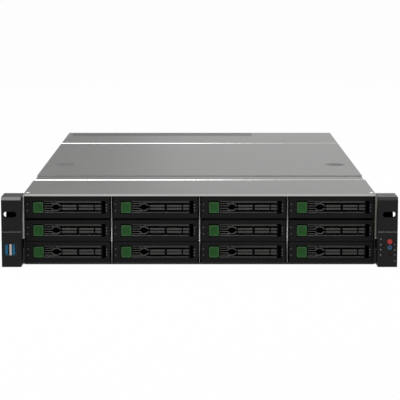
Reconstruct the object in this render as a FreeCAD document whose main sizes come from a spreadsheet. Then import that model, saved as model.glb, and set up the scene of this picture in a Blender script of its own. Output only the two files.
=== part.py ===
import FreeCAD, Part
import os
import re
import Sketcher
from FreeCAD import Rotation, Vector

# A 2U rack server: a steel chassis for twelve 3.5 inch hot-swap drives in four columns of three rows,
# two plastic rack ears, a sliding top cover, three fans, a board and two power supplies.
# Millimetres. +Z is up, the drive side faces -Y, and +X is to the right of someone facing the drives.
# The origin is on the surface that the chassis stands on, below the middle of the whole depth.

doc = FreeCAD.newDocument("RackServer")
sheet = doc.addObject("Spreadsheet::Sheet", "Sizes")

# ---------------------------------------------------------------- driving dimensions

SIZES = {
    # chassis and covers
    "chassis_width": 432.0,        # over the side flanges of the covers
    "chassis_height": 87.4,        # two rack units of 44.45 less the usual running space
    "chassis_length": 740.0,       # front lip to back wall
    "tray_sheet": 1.0,             # steel of the tray
    "cover_sheet": 0.8,            # steel of the covers
    "cover_gap": 0.2,              # between a cover's side flange and the tray's side
    "slide_gap": 0.1,              # between the sliding cover and what it rests on
    "cover_flange": 8.0,           # height of the covers' side flanges
    "floor_hem": 1.9,              # folded front edge of the tray floor
    "hem_depth": 6.0,
    "lip_height": 2.65,            # folded front edge of the front cover
    "lip_sheet": 1.2,
    "front_cover_length": 133.0,
    "strip_length": 46.0,          # low strip between the front cover and the sliding cover
    "ledge_overlap": 58.0,         # how far the low strip runs on under the sliding cover
    "panel_length": 166.0,         # rear panel's top sheet
    "cover_seam": 1.5,             # between the sliding cover and the rear panel
    "rear_ledge": 14.0,            # ledge of the rear panel under the sliding cover
    "joggle": 6.0,                 # length of the step that joins a ledge to its sheet
    "bead_radius": 0.9,            # rolled edge across the covers
    "bead_rise": 0.6,
    "rail_width": 8.0,             # folded top of the tray's sides
    "rail_gap": 1.0,               # between a rail and the ledge before it
    "dimple_radius": 15.0,         # finger dimples of the sliding cover
    "dimple_floor": 10.0,
    "dimple_depth": 2.4,
    "dimple_from_front": 121.0,
    "dimple_inset": 26.5,          # from the cover's side to the dimple's middle
    # drive cage and carriers
    "drive_columns": 4,
    "cage_top_room": 3.7,          # above the top row of bays
    "thin_shelf": 0.5,
    "thick_shelf": 2.4,
    "thick_shelf_setback": 6.0,    # its front edge behind the other cage edges
    "divider_sheet": 1.4,
    "cage_top_sheet": 0.8,
    "cage_depth": 168.0,
    "cage_setback": 1.0,           # cage edges behind the carrier faces
    "bezel_side_gap": 2.3,         # carrier front to the bay's boundary
    "bezel_end_gap": 0.15,         # carrier front to the shelf above and below
    "bezel_depth": 12.0,
    "drive_side_room": 3.2,        # leaves 101.6 for a 3.5 inch drive
    "drive_gap": 0.1,              # above and below a drive in its bay
    "drive_length": 147.0,
    "drive_setback": 2.0,          # drive behind the carrier front
    "carrier_rail_tall": 18.0,
    "recess_left_border": 8.9,     # bezel's left side to the recess of button and lever
    "recess_right_border": 5.1,
    "recess_low": 5.4,
    "recess_high": 21.3,
    "recess_depth": 9.0,
    "pipe_radius": 1.2,            # holes for the two light pipes
    "pipe_inset": 2.4,
    "pipe_low": 9.1,
    "pipe_high": 17.0,
    "button_gap": 0.3,             # release button to the recess' left side
    "button_width": 12.6,
    "button_low": 6.1,
    "button_tall": 13.8,
    "button_depth": 6.0,
    "button_setback": 0.2,
    "lever_gap": 0.4,              # lever to button
    "lever_right_gap": 3.6,
    "lever_low": 5.8,
    "lever_tall": 15.2,
    "lever_depth": 5.5,
    "lever_setback": 0.5,
    "lever_bar": 2.4,              # top and bottom bar of the lever's grille
    "lever_slot": 1.7,             # open rows of the grille
    "lever_post": 2.2,             # uprights between the open rows
    "lever_border": 4.2,           # lever's left end to its first openings
    "lever_pin_radius": 1.5,
    "lever_pin_fit": 0.05,
    "lever_pin_inset": 2.6,        # pin axis from the lever's right end
    "lever_pin_behind": 3.0,       # pin axis behind the bezel's face
    # backplane
    "backplane_sheet": 2.0,
    "backplane_margin": 1.0,
    "window_width": 88.0,
    "window_tall": 7.0,
    "window_rise": 14.0,
    "plug_rise": 4.0,
    "plug_width": 42.0,
    "plug_tall": 6.0,
    "plug_depth": 6.0,
    # fans
    "fan_headroom": 7.4,           # fans are as tall as the chassis leaves
    "fan_depth": 38.0,
    "fan_rim": 2.0,
    "fan_side_room": 12.0,         # chassis width less three fan places
    "fan_from_front": 212.0,
    "fan_wall_sheet": 1.2,
    "fan_wall_headroom": 5.4,
    "motor_radius": 17.0,
    "motor_depth": 10.0,
    "strut_width": 4.0,
    "strut_root": 1.0,
    "spindle_root": 1.0,
    "spindle_radius": 1.5,
    "spindle_fit": 0.05,
    "rotor_radius": 18.0,
    "rotor_depth": 22.0,
    "rotor_gap": 1.0,
    "blade_tip_gap": 1.5,
    "blade_root": 2.0,             # how far a blade runs into the hub
    "blade_chord": 20.0,
    "blade_sheet": 1.6,
    # board
    "board_width": 305.0,
    "board_length": 330.0,
    "board_sheet": 1.6,
    "board_left": 120.0,           # left of the chassis' middle
    "board_from_back": 4.0,
    "board_screw_inset": 12.0,
    "connector_room": 26.0,        # rear screws to the board's rear edge, past the connectors
    "connector_depth": 16.0,
    "connector_proud": 0.5,
    "standoff_tall": 6.5,
    "standoff_radius": 3.5,
    "socket_size": 78.0,
    "socket_tall": 7.0,
    "socket_from_back": 200.0,
    "socket_pitch": 150.0,
    "sink_tall": 58.0,
    "sink_base": 5.0,
    "fin_count": 18,
    "fin_sheet": 1.2,
    "module_count": 8,
    "module_pitch": 7.6,
    "module_length": 133.0,
    "module_tall": 31.0,
    "module_sheet": 1.4,
    "module_socket_tall": 6.0,
    "module_socket_width": 5.6,
    "module_seat": 2.0,
    "module_socket_end": 4.0,
    "port_first": 6.0,             # first rear connector from the shield's edge
    "port_gap": 4.5,
    "video_width": 31.0,
    "video_tall": 12.5,
    "stack_width": 14.0,
    "stack_tall": 16.0,
    "network_width": 16.0,
    "network_tall": 14.0,
    # back wall
    "wall_sheet": 1.2,
    "wall_gap": 0.2,
    "shield_width": 158.8,
    "shield_tall": 44.5,
    "shield_low": 5.0,
    "shield_left": 117.0,
    "slot_count": 7,
    "slot_pitch": 20.32,
    "slot_width": 13.0,
    "slot_low": 7.0,
    "slot_headroom": 8.4,
    "slot_first": 62.0,
    "blank_width": 18.4,
    "blank_end": 3.0,              # blanks reach past their openings
    "recess_drop": 0.6,            # pressed area at the back of the rear panel
    "recess_length": 52.0,
    "recess_left_inset": 8.0,      # from the chassis' left side
    "recess_right_inset": 131.0,
    "recess_back_edge": 1.0,
    "recess_border": 2.0,
    # power supplies
    "supply_width": 73.5,
    "supply_headroom": 2.7,        # above the upper supply
    "supply_length": 185.0,
    "supply_gap": 0.3,
    "supply_shelf": 0.8,
    "supply_proud": 1.0,
    "supply_guide_length": 200.0,
    "supply_guide_drop": 1.0,
    "handle_reach": 31.0,          # power supply handles behind the back wall
    "handle_bar": 5.0,
    "handle_span": 26.0,
    "handle_offset": 12.0,
    "latch_width": 5.0,
    "latch_tall": 14.0,
    "latch_reach": 16.0,
    "latch_offset": 22.0,
    "latch_travel": 4.0,
    "inlet_width": 27.0,
    "inlet_tall": 20.0,
    "inlet_depth": 3.0,
    "inlet_offset": 20.0,
    "inlet_pin_width": 2.0,
    "inlet_pin_tall": 4.0,
    "inlet_pin_pitch": 7.0,
    "inlet_pin_step": 2.0,
    "inlet_pin_setback": 0.5,
    # ears
    "ear_width": 23.8,             # makes the 482.6 of a 19 inch rack
    "ear_lead": 19.0,              # ear fronts ahead of the chassis
    "ear_depth": 49.0,
    "ear_drop": 1.4,               # ear tops below the covers
    "ear_gap": 1.5,                # between chassis side and ear, filled by the bracket
    "ear_bevel": 3.6,
    "ear_slope": 11.0,             # rear top corner cut off at 45 degrees
    "rack_slot_tall": 6.8,
    "rack_slot_length": 15.7,
    "rack_slot_height": 64.8,
    "rack_slot_inset": 10.6,       # slot's middle from the ear's outer side
    "slot_relief": 5.4,            # side relief behind the rack slot, deepest at its plate
    "slot_relief_back": 0.8,
    "slot_relief_low": 52.0,
    "slot_relief_tall": 19.0,
    "slot_plate": 4.0,
    "seam_height": 43.3,
    "seam_width": 0.6,
    "seam_depth": 0.6,
    "bracket_sheet": 1.3,
    "bracket_drop": 2.9,
    "bracket_length": 75.0,
    "bracket_lead": 2.0,
    "bracket_notch_low": 19.0,
    "bracket_notch_tall": 14.0,
    "bracket_notch_depth": 12.0,
    "bracket_foot_start": 35.0,
    "bracket_foot_low": 6.0,
    "bracket_foot_drop": 15.4,
    "bracket_screw_behind": 10.0,
    # sockets and buttons of the ears
    "usb_width": 5.7,
    "usb_tall": 14.5,
    "usb_depth": 15.0,
    "usb_wall": 0.4,
    "usb_tongue": 2.0,
    "usb_tongue_setback": 2.0,
    "usb_fit": 0.1,
    "usb_height": 21.4,
    "usb_pitch": 8.8,
    "usb_inset": 6.45,             # outer socket's middle from the ear's outer side
    "push_inset": 9.3,
    "power_height": 31.4,
    "power_radius": 3.4,
    "locator_height": 24.0,
    "locator_radius": 2.9,
    "reset_height": 15.5,
    "reset_radius": 1.7,
    "push_depth": 7.0,
    "push_fit": 0.25,
    "push_travel": 1.2,
    "push_room": 0.6,
    "push_setback": 0.3,
    "reset_setback": 1.0,
    # screws
    "head_radius": 2.6,
    "head_tall": 0.7,
    "pan_radius": 3.0,
    "pan_tall": 1.4,
    "shank_radius": 1.5,
    "shank_length": 4.0,           # screws of the brackets and the board
    "top_screw_length": 3.0,
    "top_screw_inset": 4.2,
    "top_screw_from_front": 13.0,
    "side_screw_first": 82.0,
    "side_screw_second": 122.0,
    "panel_screw_inset": 40.0,
    "shank_fit": 0.1,
}

# Places worked out from the driving dimensions.
PLACES = {
    "front": "-(ear_lead + chassis_length + handle_reach)/2",
    "face": "(front + ear_lead)",
    "rear": "(face + chassis_length)",
    "half_width": "chassis_width/2",
    "tray_half": "(half_width - cover_sheet - cover_gap)",
    "inner_half": "(tray_half - tray_sheet)",
    "cover_under": "(chassis_height - cover_sheet)",
    "ledge_top": "(cover_under - slide_gap)",
    "ledge_under": "(ledge_top - cover_sheet)",
    "strip_start": "(face + front_cover_length)",
    "slide_start": "(strip_start + strip_length)",
    "panel_start": "(rear - panel_length)",
    "slide_end": "(panel_start - cover_seam)",
    "rail_end": "(panel_start - rear_ledge - rail_gap)",
    "ledge_end": "(slide_start + ledge_overlap)",
    "bay_pitch": "(chassis_width/drive_columns)",
    "bay_height": "((chassis_height - floor_hem - thin_shelf - thick_shelf - cage_top_room)/3)",
    "drive_height": "(bay_height - 2*drive_gap)",
    "bezel_width": "(bay_pitch - 2*bezel_side_gap)",
    "bezel_tall": "(bay_height - 2*bezel_end_gap)",
    "drive_width": "(bay_pitch - 2*drive_side_room)",
    "recess_left": "(bezel_width/2 - recess_left_border)",
    "recess_right": "(bezel_width/2 - recess_right_border)",
    "pipe_offset": "(bezel_width/2 - pipe_inset)",
    "button_left": "(recess_left - button_gap)",
    "row_3": "floor_hem",
    "row_2": "(row_3 + bay_height + thin_shelf)",
    "row_1": "(row_2 + bay_height + thick_shelf)",
    "cage_top": "(ledge_under - cage_top_sheet)",
    "cage_front": "(face + cage_setback)",
    "cage_rear": "(face + cage_depth)",
    "lever_left": "(button_left - button_width - lever_gap)",
    "lever_right": "(recess_right - lever_right_gap)",
    "lever_slot_start": "(lever_left - lever_border)",
    "lever_pin_x": "(lever_right - lever_pin_inset)",
    "bar_middle": "((lever_tall - 2*lever_bar - 3*lever_slot)/2)",
    "fan_pitch": "((chassis_width - fan_side_room)/3)",
    "fan_front": "(face + fan_from_front)",
    "fan_size": "(chassis_height - fan_headroom)",
    "fan_bore": "(fan_size/2 - fan_rim)",
    "fan_wall_tall": "(chassis_height - fan_wall_headroom)",
    "fan_height": "(tray_sheet + fan_size/2)",
    "blade_reach": "(fan_bore - blade_tip_gap)",
    "board_under": "(tray_sheet + standoff_tall)",
    "board_top": "(board_under + board_sheet)",
    "board_rear": "(rear - board_from_back)",
    "wall_front": "(rear - wall_sheet)",
    "slot_tall": "(chassis_height - slot_low - slot_headroom)",
    "supply_tall": "((ledge_under - tray_sheet - supply_shelf - 4*supply_gap - supply_headroom)/2)",
    "supply_left": "(-inner_half + supply_gap)",
    "supply_middle": "(supply_left + supply_width/2)",
    "guide_left": "(supply_left + supply_width + supply_gap)",
    "supply_shelf_low": "(tray_sheet + supply_tall + 2*supply_gap)",
    "supply_low_1": "(tray_sheet + supply_gap)",
    "supply_low_2": "(supply_shelf_low + supply_shelf + supply_gap)",
    "supply_back": "(rear + supply_proud)",
    "ear_inner": "(half_width + ear_gap)",
    "ear_outer": "(ear_inner + ear_width)",
    "ear_height": "(chassis_height - ear_drop)",
    "rack_slot_offset": "(ear_outer - rack_slot_inset)",
    "usb_outer": "(ear_outer - usb_inset)",
    "push_offset": "(ear_outer - push_inset)",
    "bracket_tall": "(chassis_height - bracket_drop)",
    "bracket_foot_tall": "(chassis_height - bracket_foot_low - bracket_foot_drop)",
    "ear_back": "(front + ear_depth)",
    "bracket_inner": "(ear_inner - bracket_sheet)",
}

for row, (name, size) in enumerate(SIZES.items(), start=1):
    sheet.set("A%d" % row, name)
    sheet.set("B%d" % row, str(size))
    sheet.setAlias("B%d" % row, name)
doc.recompute()


def formula(text):
    """Expand the named places in a formula and point every driving dimension at the sheet."""
    def swap(match):
        word = match.group(0)
        if word in PLACES:
            return "(" + formula(PLACES[word]) + ")"
        if word in SIZES:
            return "Sizes." + word
        return word
    return re.sub(r"[a-z][a-z_0-9]*", swap, str(text))


def value(text):
    """The number that a formula gives now."""
    return float(sheet.evalExpression(formula(text)))


# ---------------------------------------------------------------- ways of making pieces

def bind(thing, **formulas):
    """Bind properties such as Length or Placement.Base.x (written Placement_Base_x) to formulas."""
    for key, text in formulas.items():
        thing.setExpression(key.replace("_", "."), formula(text))


def box(name, x_span, y_span, z_span):
    """A block between two formulas on each axis."""
    block = doc.addObject("Part::Box", name)
    for side, axis, (low, high) in (("Length", "x", x_span), ("Width", "y", y_span), ("Height", "z", z_span)):
        block.setExpression(side, formula("(%s) - (%s)" % (high, low)))
        block.setExpression("Placement.Base." + axis, formula(low))
    return block


TURNS = {
    "x": Rotation(Vector(0, 1, 0), 90),
    "-x": Rotation(Vector(0, 1, 0), -90),
    "y": Rotation(Vector(1, 0, 0), -90),
    "-y": Rotation(Vector(1, 0, 0), 90),
    "z": Rotation(),
    "-z": Rotation(Vector(1, 0, 0), 180),
}


def round_bar(name, start, direction, radius, length):
    """A cylinder that starts at a point and runs along one axis."""
    bar = doc.addObject("Part::Cylinder", name)
    bar.Placement.Rotation = TURNS[direction]
    for axis, text in zip("xyz", start):
        bar.setExpression("Placement.Base." + axis, formula(text))
    bind(bar, Radius=radius, Height=length)
    return bar


def fuse(name, pieces):
    """Join pieces into one solid."""
    joined = doc.addObject("Part::MultiFuse", name)
    joined.Shapes = pieces
    joined.Refine = True
    return joined


def group(name, pieces):
    """Keep pieces as separate solids of one node."""
    held = doc.addObject("Part::Compound", name)
    held.Links = pieces
    return held


def cut(name, base, tools):
    """Take tools away from a base."""
    left = doc.addObject("Part::Cut", name)
    left.Base = base
    left.Tool = tools[0] if len(tools) == 1 else group(name + "Tools", tools)
    left.Refine = True
    return left


def copy_at(name, original, x, y, z):
    """A copy of a finished piece with its own place."""
    placed = group(name, [original])
    for axis, text in zip("xyz", (x, y, z)):
        placed.setExpression("Placement.Base." + axis, formula(text))
    return placed


def sketch(body, name, plane, offset, outlines, circles=()):
    """A sketch on one of the body's origin planes, every corner held by two bound distances."""
    drawing = body.newObject("Sketcher::SketchObject", name)
    role = plane + "_Plane"
    support = [feature for feature in body.Origin.OriginFeatures if feature.Role == role][0]
    drawing.AttachmentSupport = [(support, "")]
    drawing.MapMode = "FlatFace"
    side = "-(%s)" % offset if plane == "XZ" else offset
    drawing.setExpression("AttachmentOffset.Base.z", formula(side))

    def hold(kind, index, point, text):
        number = drawing.addConstraint(Sketcher.Constraint(kind, -1, 1, index, point, value(text)))
        drawing.setExpression("Constraints[%d]" % number, formula(text))

    for outline in outlines:
        first = drawing.GeometryCount
        corners = [Vector(value(across), value(up), 0) for across, up in outline]
        for here, there in zip(corners, corners[1:] + corners[:1]):
            drawing.addGeometry(Part.LineSegment(here, there))
        count = len(corners)
        for step in range(count):
            following = first + (step + 1) % count
            drawing.addConstraint(Sketcher.Constraint("Coincident", first + step, 2, following, 1))
        for step, (across, up) in enumerate(outline):
            hold("DistanceX", first + step, 1, across)
            hold("DistanceY", first + step, 1, up)
    for across, up, radius in circles:
        middle = Vector(value(across), value(up), 0)
        index = drawing.addGeometry(Part.Circle(middle, Vector(0, 0, 1), value(radius)))
        hold("DistanceX", index, 3, across)
        hold("DistanceY", index, 3, up)
        number = drawing.addConstraint(Sketcher.Constraint("Radius", index, value(radius)))
        drawing.setExpression("Constraints[%d]" % number, formula(radius))
    return drawing


def rectangle(x_span, y_span):
    """The four corners of a sketch rectangle."""
    (left, right), (low, high) = x_span, y_span
    return [(left, low), (right, low), (right, high), (left, high)]


def pad(body, name, profile, length, reverse=False, middle=False):
    feature = body.newObject("PartDesign::Pad", name)
    feature.Profile = profile
    feature.Reversed = reverse
    feature.Midplane = middle
    feature.setExpression("Length", formula(length))
    return feature


def pocket(body, name, profile, depth, reverse=False):
    feature = body.newObject("PartDesign::Pocket", name)
    feature.Profile = profile
    feature.Reversed = reverse
    feature.setExpression("Length", formula(depth))
    return feature


NODES = {}


def node(name, piece):
    """Name a finished sub-part."""
    piece.Label = name
    NODES[name] = piece
    return piece


# ---------------------------------------------------------------- screws and their holes

SUNK_SCREWS = []
PAN_SCREWS = []


def sunk_screw(name, x, y, z, direction):
    """A flat-head screw whose head fills the sheet at a point and whose shank runs along direction."""
    length = "top_screw_length" if direction == "-z" else "half_width - inner_half"
    head = round_bar(name + "Head", (x, y, z), direction, "head_radius", "head_tall")
    shank = round_bar(name + "Shank", (x, y, z), direction, "shank_radius", length)
    SUNK_SCREWS.append(fuse(name, [head, shank]))


def sunk_holes(name, x, y, z, direction):
    """The holes for such a screw, in the sheet on top and in what it is driven into."""
    wide = round_bar(name + "Wide", (x, y, z), direction, "head_radius + shank_fit", "cover_sheet")
    narrow = round_bar(name + "Narrow", (x, y, z), direction, "shank_radius + shank_fit", "shank_length + 1")
    return wide, narrow


TOP_SCREWS = [("%d*(half_width - top_screw_inset)" % side, "face + top_screw_from_front", "chassis_height", "-z")
              for side in (-1, 1)]
SIDE_SCREW_HEIGHT = "(chassis_height - cover_flange/2 - cover_sheet/2)"


def side_screws(starts):
    """Screws through the side flanges of a cover, at given places along the depth."""
    listed = []
    for side, direction in ((-1, "x"), (1, "-x")):
        for start in starts:
            listed.append(("%d*half_width" % side, start, SIDE_SCREW_HEIGHT, direction))
    return listed


FRONT_SIDE_SCREWS = side_screws(["face + side_screw_first", "face + side_screw_second"])
PANEL_SIDE_SCREWS = side_screws(["panel_start + panel_screw_inset", "rear - panel_screw_inset"])


# ---------------------------------------------------------------- chassis tray

def make_tray():
    """Folded steel tray with its two ear brackets, power supply guide and board standoffs."""
    parts = [
        box("TrayFloor", ("-tray_half", "tray_half"), ("face", "rear"), ("0", "tray_sheet")),
        box("TrayHem", ("-inner_half", "inner_half"), ("face", "face + hem_depth"), ("tray_sheet", "floor_hem")),
        box("SupplyGuide", ("guide_left", "guide_left + tray_sheet"),
            ("wall_front - supply_guide_length", "wall_front - wall_gap"), ("tray_sheet", "ledge_under - supply_guide_drop")),
        box("SupplyShelf", ("-inner_half", "guide_left"),
            ("wall_front - supply_guide_length", "wall_front - wall_gap"),
            ("supply_shelf_low", "supply_shelf_low + supply_shelf")),
    ]
    for side, label in ((-1, "Left"), (1, "Right")):
        def across(low, high):
            return ("%d*(%s)" % (side, high if side < 0 else low), "%d*(%s)" % (side, low if side < 0 else high))
        parts += [
            box("TraySide" + label, across("inner_half", "tray_half"), ("face + lip_sheet", "rear"), ("0", "ledge_under")),
            box("TrayRail" + label, across("tray_half - rail_width", "tray_half"),
                ("ledge_end + rail_gap", "rail_end"), ("ledge_under", "ledge_top")),
            box("Bracket" + label, across("bracket_inner", "ear_inner"),
                ("face - bracket_lead", "face - bracket_lead + bracket_length"), ("tray_sheet", "bracket_tall")),
            box("BracketFoot" + label, across("tray_half", "bracket_inner"),
                ("face + bracket_foot_start", "face - bracket_lead + bracket_length"),
                ("bracket_foot_low", "bracket_foot_low + bracket_foot_tall")),
        ]
    for number, (x, y, z, direction) in enumerate(board_screws()):
        parts.append(round_bar("Standoff%d" % number, (x, y, "tray_sheet"), "z", "standoff_radius", "standoff_tall"))
    tools = []
    for side, label in ((-1, "Left"), (1, "Right")):
        low, high = ("-ear_inner", "-bracket_inner") if side < 0 else ("bracket_inner", "ear_inner")
        tools.append(box("BracketNotch" + label, (low, high),
                         ("face - bracket_lead", "face - bracket_lead + bracket_notch_depth"),
                         ("bracket_notch_low", "bracket_notch_low + bracket_notch_tall")))
    for number, (x, y, z, direction) in enumerate(FRONT_SIDE_SCREWS + PANEL_SIDE_SCREWS):
        tools.append(sunk_holes("TraySideHole%d" % number, x, y, z, direction)[1])
    for number, (x, y, z, direction) in enumerate(board_screws()):
        tools.append(round_bar("StandoffHole%d" % number, (x, y, "board_under"), "-z",
                               "shank_radius + shank_fit", "shank_length"))
    for number, (x, y, z, direction) in enumerate(bracket_screws()):
        tools.append(round_bar("BracketHole%d" % number, (x, y, z), direction,
                               "shank_radius + shank_fit", "shank_length"))
    node("chassis_tray", cut("TrayFinished", fuse("TrayJoined", parts), tools))


def bracket_screws():
    """Pan screws that hold each ear bracket to the tray, behind the ear."""
    listed = []
    for side, direction in ((-1, "x"), (1, "-x")):
        for share in (1, 3, 5):
            listed.append(("%d*ear_inner" % side, "ear_back + bracket_screw_behind",
                           "bracket_foot_low + %d*bracket_foot_tall/6" % share, direction))
    return listed


# ---------------------------------------------------------------- covers

def cover_sides(name, start, end):
    """The two folded side flanges of a cover."""
    spans = (("-half_width", "-half_width + cover_sheet"), ("half_width - cover_sheet", "half_width"))
    return [box(name + label, span, (start, end), ("chassis_height - cover_flange", "cover_under"))
            for label, span in zip(("SideLeft", "SideRight"), spans)]


def make_front_cover():
    """Fixed cover over the drives, with its folded lip, rolled back edge and the low strip behind it."""
    parts = [
        box("FrontPlate", ("-half_width", "half_width"), ("face", "strip_start"),
            ("cover_under", "chassis_height")),
        box("FrontLip", ("-half_width", "half_width"), ("face", "face + lip_sheet"),
            ("chassis_height - lip_height", "cover_under")),
        box("FrontJoggle", ("-tray_half", "tray_half"), ("strip_start - joggle", "strip_start"),
            ("ledge_under", "cover_under")),
        box("FrontLedge", ("-tray_half", "tray_half"), ("strip_start", "ledge_end"),
            ("ledge_under", "ledge_top")),
        round_bar("FrontBead", ("-half_width", "strip_start - bead_radius", "chassis_height + bead_rise - bead_radius"),
                  "x", "bead_radius", "chassis_width"),
    ] + cover_sides("Front", "face", "strip_start")
    tools = [sunk_holes("FrontTopHole%d" % number, x, y, z, direction)[0]
             for number, (x, y, z, direction) in enumerate(TOP_SCREWS)]
    tools += [sunk_holes("FrontSideHole%d" % number, x, y, z, direction)[0]
              for number, (x, y, z, direction) in enumerate(FRONT_SIDE_SCREWS)]
    node("front_cover", cut("FrontCoverFinished", fuse("FrontCoverJoined", parts), tools))


def dimple(name, x, y, top_radius, floor_radius, top, depth):
    """A cone that stands on its narrow end below a given height."""
    cone = doc.addObject("Part::Cone", name)
    cone.Placement.Rotation = TURNS["-z"]
    for axis, text in zip("xyz", (x, y, top)):
        cone.setExpression("Placement.Base." + axis, formula(text))
    bind(cone, Radius1=top_radius, Radius2=floor_radius, Height=depth)
    return cone


def make_sliding_cover():
    """The cover that slides forward over the low strip, with two pressed finger dimples."""
    parts = [box("SlidePlate", ("-half_width", "half_width"), ("slide_start", "slide_end"),
                 ("cover_under", "chassis_height"))] + cover_sides("Slide", "slide_start", "slide_end")
    tools = []
    for side, label in ((-1, "Left"), (1, "Right")):
        x = "%d*(half_width - dimple_inset)" % side
        y = "slide_start + dimple_from_front"
        parts.append(dimple("DishOut" + label, x, y, "dimple_radius + cover_sheet", "dimple_floor + cover_sheet",
                            "chassis_height", "dimple_depth + cover_sheet"))
        tools.append(dimple("DishIn" + label, x, y, "dimple_radius", "dimple_floor",
                            "chassis_height", "dimple_depth"))
    node("sliding_cover", cut("SlideFinished", fuse("SlideJoined", parts), tools))


def make_rear_panel():
    """Rear top sheet folded down into the back wall, with the blanking plates of the card slots."""
    shield = ("-shield_left", "-shield_left + shield_width")
    parts = [
        box("PanelPlate", ("-half_width", "half_width"), ("panel_start", "rear"), ("cover_under", "chassis_height")),
        box("PanelJoggle", ("-tray_half", "tray_half"), ("panel_start", "panel_start + joggle"),
            ("ledge_under", "cover_under")),
        box("PanelLedge", ("-tray_half", "tray_half"), ("panel_start - rear_ledge", "panel_start"),
            ("ledge_under", "ledge_top")),
        box("PanelUnder", ("-half_width + recess_left_inset - recess_border",
                           "half_width - recess_right_inset + recess_border"),
            ("rear - recess_length - recess_border", "wall_front"),
            ("cover_under - cover_sheet", "cover_under")),
        box("PanelWall", ("-inner_half + wall_gap", "inner_half - wall_gap"), ("wall_front", "rear"),
            ("tray_sheet + wall_gap", "cover_under")),
        round_bar("PanelBead", ("-half_width", "panel_start + bead_radius", "chassis_height + bead_rise - bead_radius"),
                  "x", "bead_radius", "chassis_width"),
    ] + cover_sides("Panel", "panel_start", "rear")
    tools = [
        box("PanelRecess", ("-half_width + recess_left_inset", "half_width - recess_right_inset"),
            ("rear - recess_length", "wall_front - recess_back_edge"),
            ("chassis_height - recess_drop", "chassis_height + bead_rise")),
        box("SupplyOpening", ("-inner_half + wall_gap", "guide_left + tray_sheet"), ("wall_front", "rear"),
            ("tray_sheet + wall_gap", "supply_low_2 + supply_tall + supply_gap")),
        box("ShieldOpening", shield, ("wall_front", "rear"), ("shield_low", "shield_low + shield_tall")),
    ]
    blanks = []
    for number in range(int(SIZES["slot_count"])):
        middle = "slot_first + %d*slot_pitch" % number
        tools.append(box("SlotOpening%d" % number, (middle + " - slot_width/2", middle + " + slot_width/2"),
                         ("wall_front", "rear"), ("slot_low", "slot_low + slot_tall")))
        blanks.append(box("SlotBlank%d" % number, (middle + " - blank_width/2", middle + " + blank_width/2"),
                          ("wall_front - cover_sheet", "wall_front"),
                          ("slot_low - blank_end", "slot_low + slot_tall + blank_end")))
    tools += [sunk_holes("PanelSideHole%d" % number, x, y, z, direction)[0]
              for number, (x, y, z, direction) in enumerate(PANEL_SIDE_SCREWS)]
    sheet_piece = cut("PanelFinished", fuse("PanelJoined", parts), tools)
    node("rear_panel", group("PanelWithBlanks", [sheet_piece] + blanks))


# ---------------------------------------------------------------- drive cage and backplane

def make_drive_cage():
    """Welded cage of floor, shelves, dividers and top, open at the front and at the back."""
    depth = ("cage_front", "cage_rear")
    full = ("-inner_half", "inner_half")
    parts = [
        box("CageFloor", full, ("face + hem_depth", "cage_rear"), ("tray_sheet", "floor_hem")),
        box("CageThinShelf", full, depth, ("row_2 - thin_shelf", "row_2")),
        box("CageThickShelf", full, ("cage_front + thick_shelf_setback", "cage_rear"),
            ("row_1 - thick_shelf", "row_1")),
        box("CageTop", full, ("face + lip_sheet", "cage_rear"), ("cage_top", "ledge_under")),
    ]
    for number in range(1, int(SIZES["drive_columns"])):
        x = "(-half_width + %d*bay_pitch)" % number
        parts.append(box("CageDivider%d" % number, (x + " - divider_sheet/2", x + " + divider_sheet/2"),
                         ("face + hem_depth", "cage_rear"), ("floor_hem", "cage_top")))
        parts.append(box("CageDividerEdge%d" % number, (x + " - divider_sheet/2", x + " + divider_sheet/2"),
                         ("cage_front", "face + hem_depth"),
                         ("floor_hem", "row_1 + bay_height")))
    tools = [sunk_holes("CageTopHole%d" % number, x, y, z, direction)[1]
             for number, (x, y, z, direction) in enumerate(TOP_SCREWS)]
    node("drive_cage", cut("CageFinished", fuse("CageJoined", parts), tools))


def bay_middle(column):
    """The middle of a drive column, counted from the left."""
    return "(-half_width + (%d + 0.5)*bay_pitch)" % column


ROWS = ("row_1", "row_2", "row_3")


def make_backplane():
    """Board behind the cage with a drive plug for each bay and open windows for the air."""
    board = box("BackplaneBoard", ("-inner_half + backplane_margin", "inner_half - backplane_margin"),
                ("cage_rear", "cage_rear + backplane_sheet"), ("floor_hem", "cage_top"))
    windows = []
    plugs = []
    for column in range(int(SIZES["drive_columns"])):
        middle = bay_middle(column)
        for number, base in enumerate(ROWS):
            label = "%d%d" % (number, column)
            windows.append(box("AirWindow" + label, (middle + " - window_width/2", middle + " + window_width/2"),
                               ("cage_rear", "cage_rear + backplane_sheet"),
                               (base + " + window_rise", base + " + window_rise + window_tall")))
            plugs.append(box("DrivePlug" + label, (middle + " - plug_width/2", middle + " + plug_width/2"),
                             ("cage_rear - plug_depth", "cage_rear"),
                             (base + " + plug_rise", base + " + plug_rise + plug_tall")))
    node("drive_backplane", group("BackplaneWithPlugs", [cut("BackplaneCut", board, windows)] + plugs))


# ---------------------------------------------------------------- drive carriers

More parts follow.
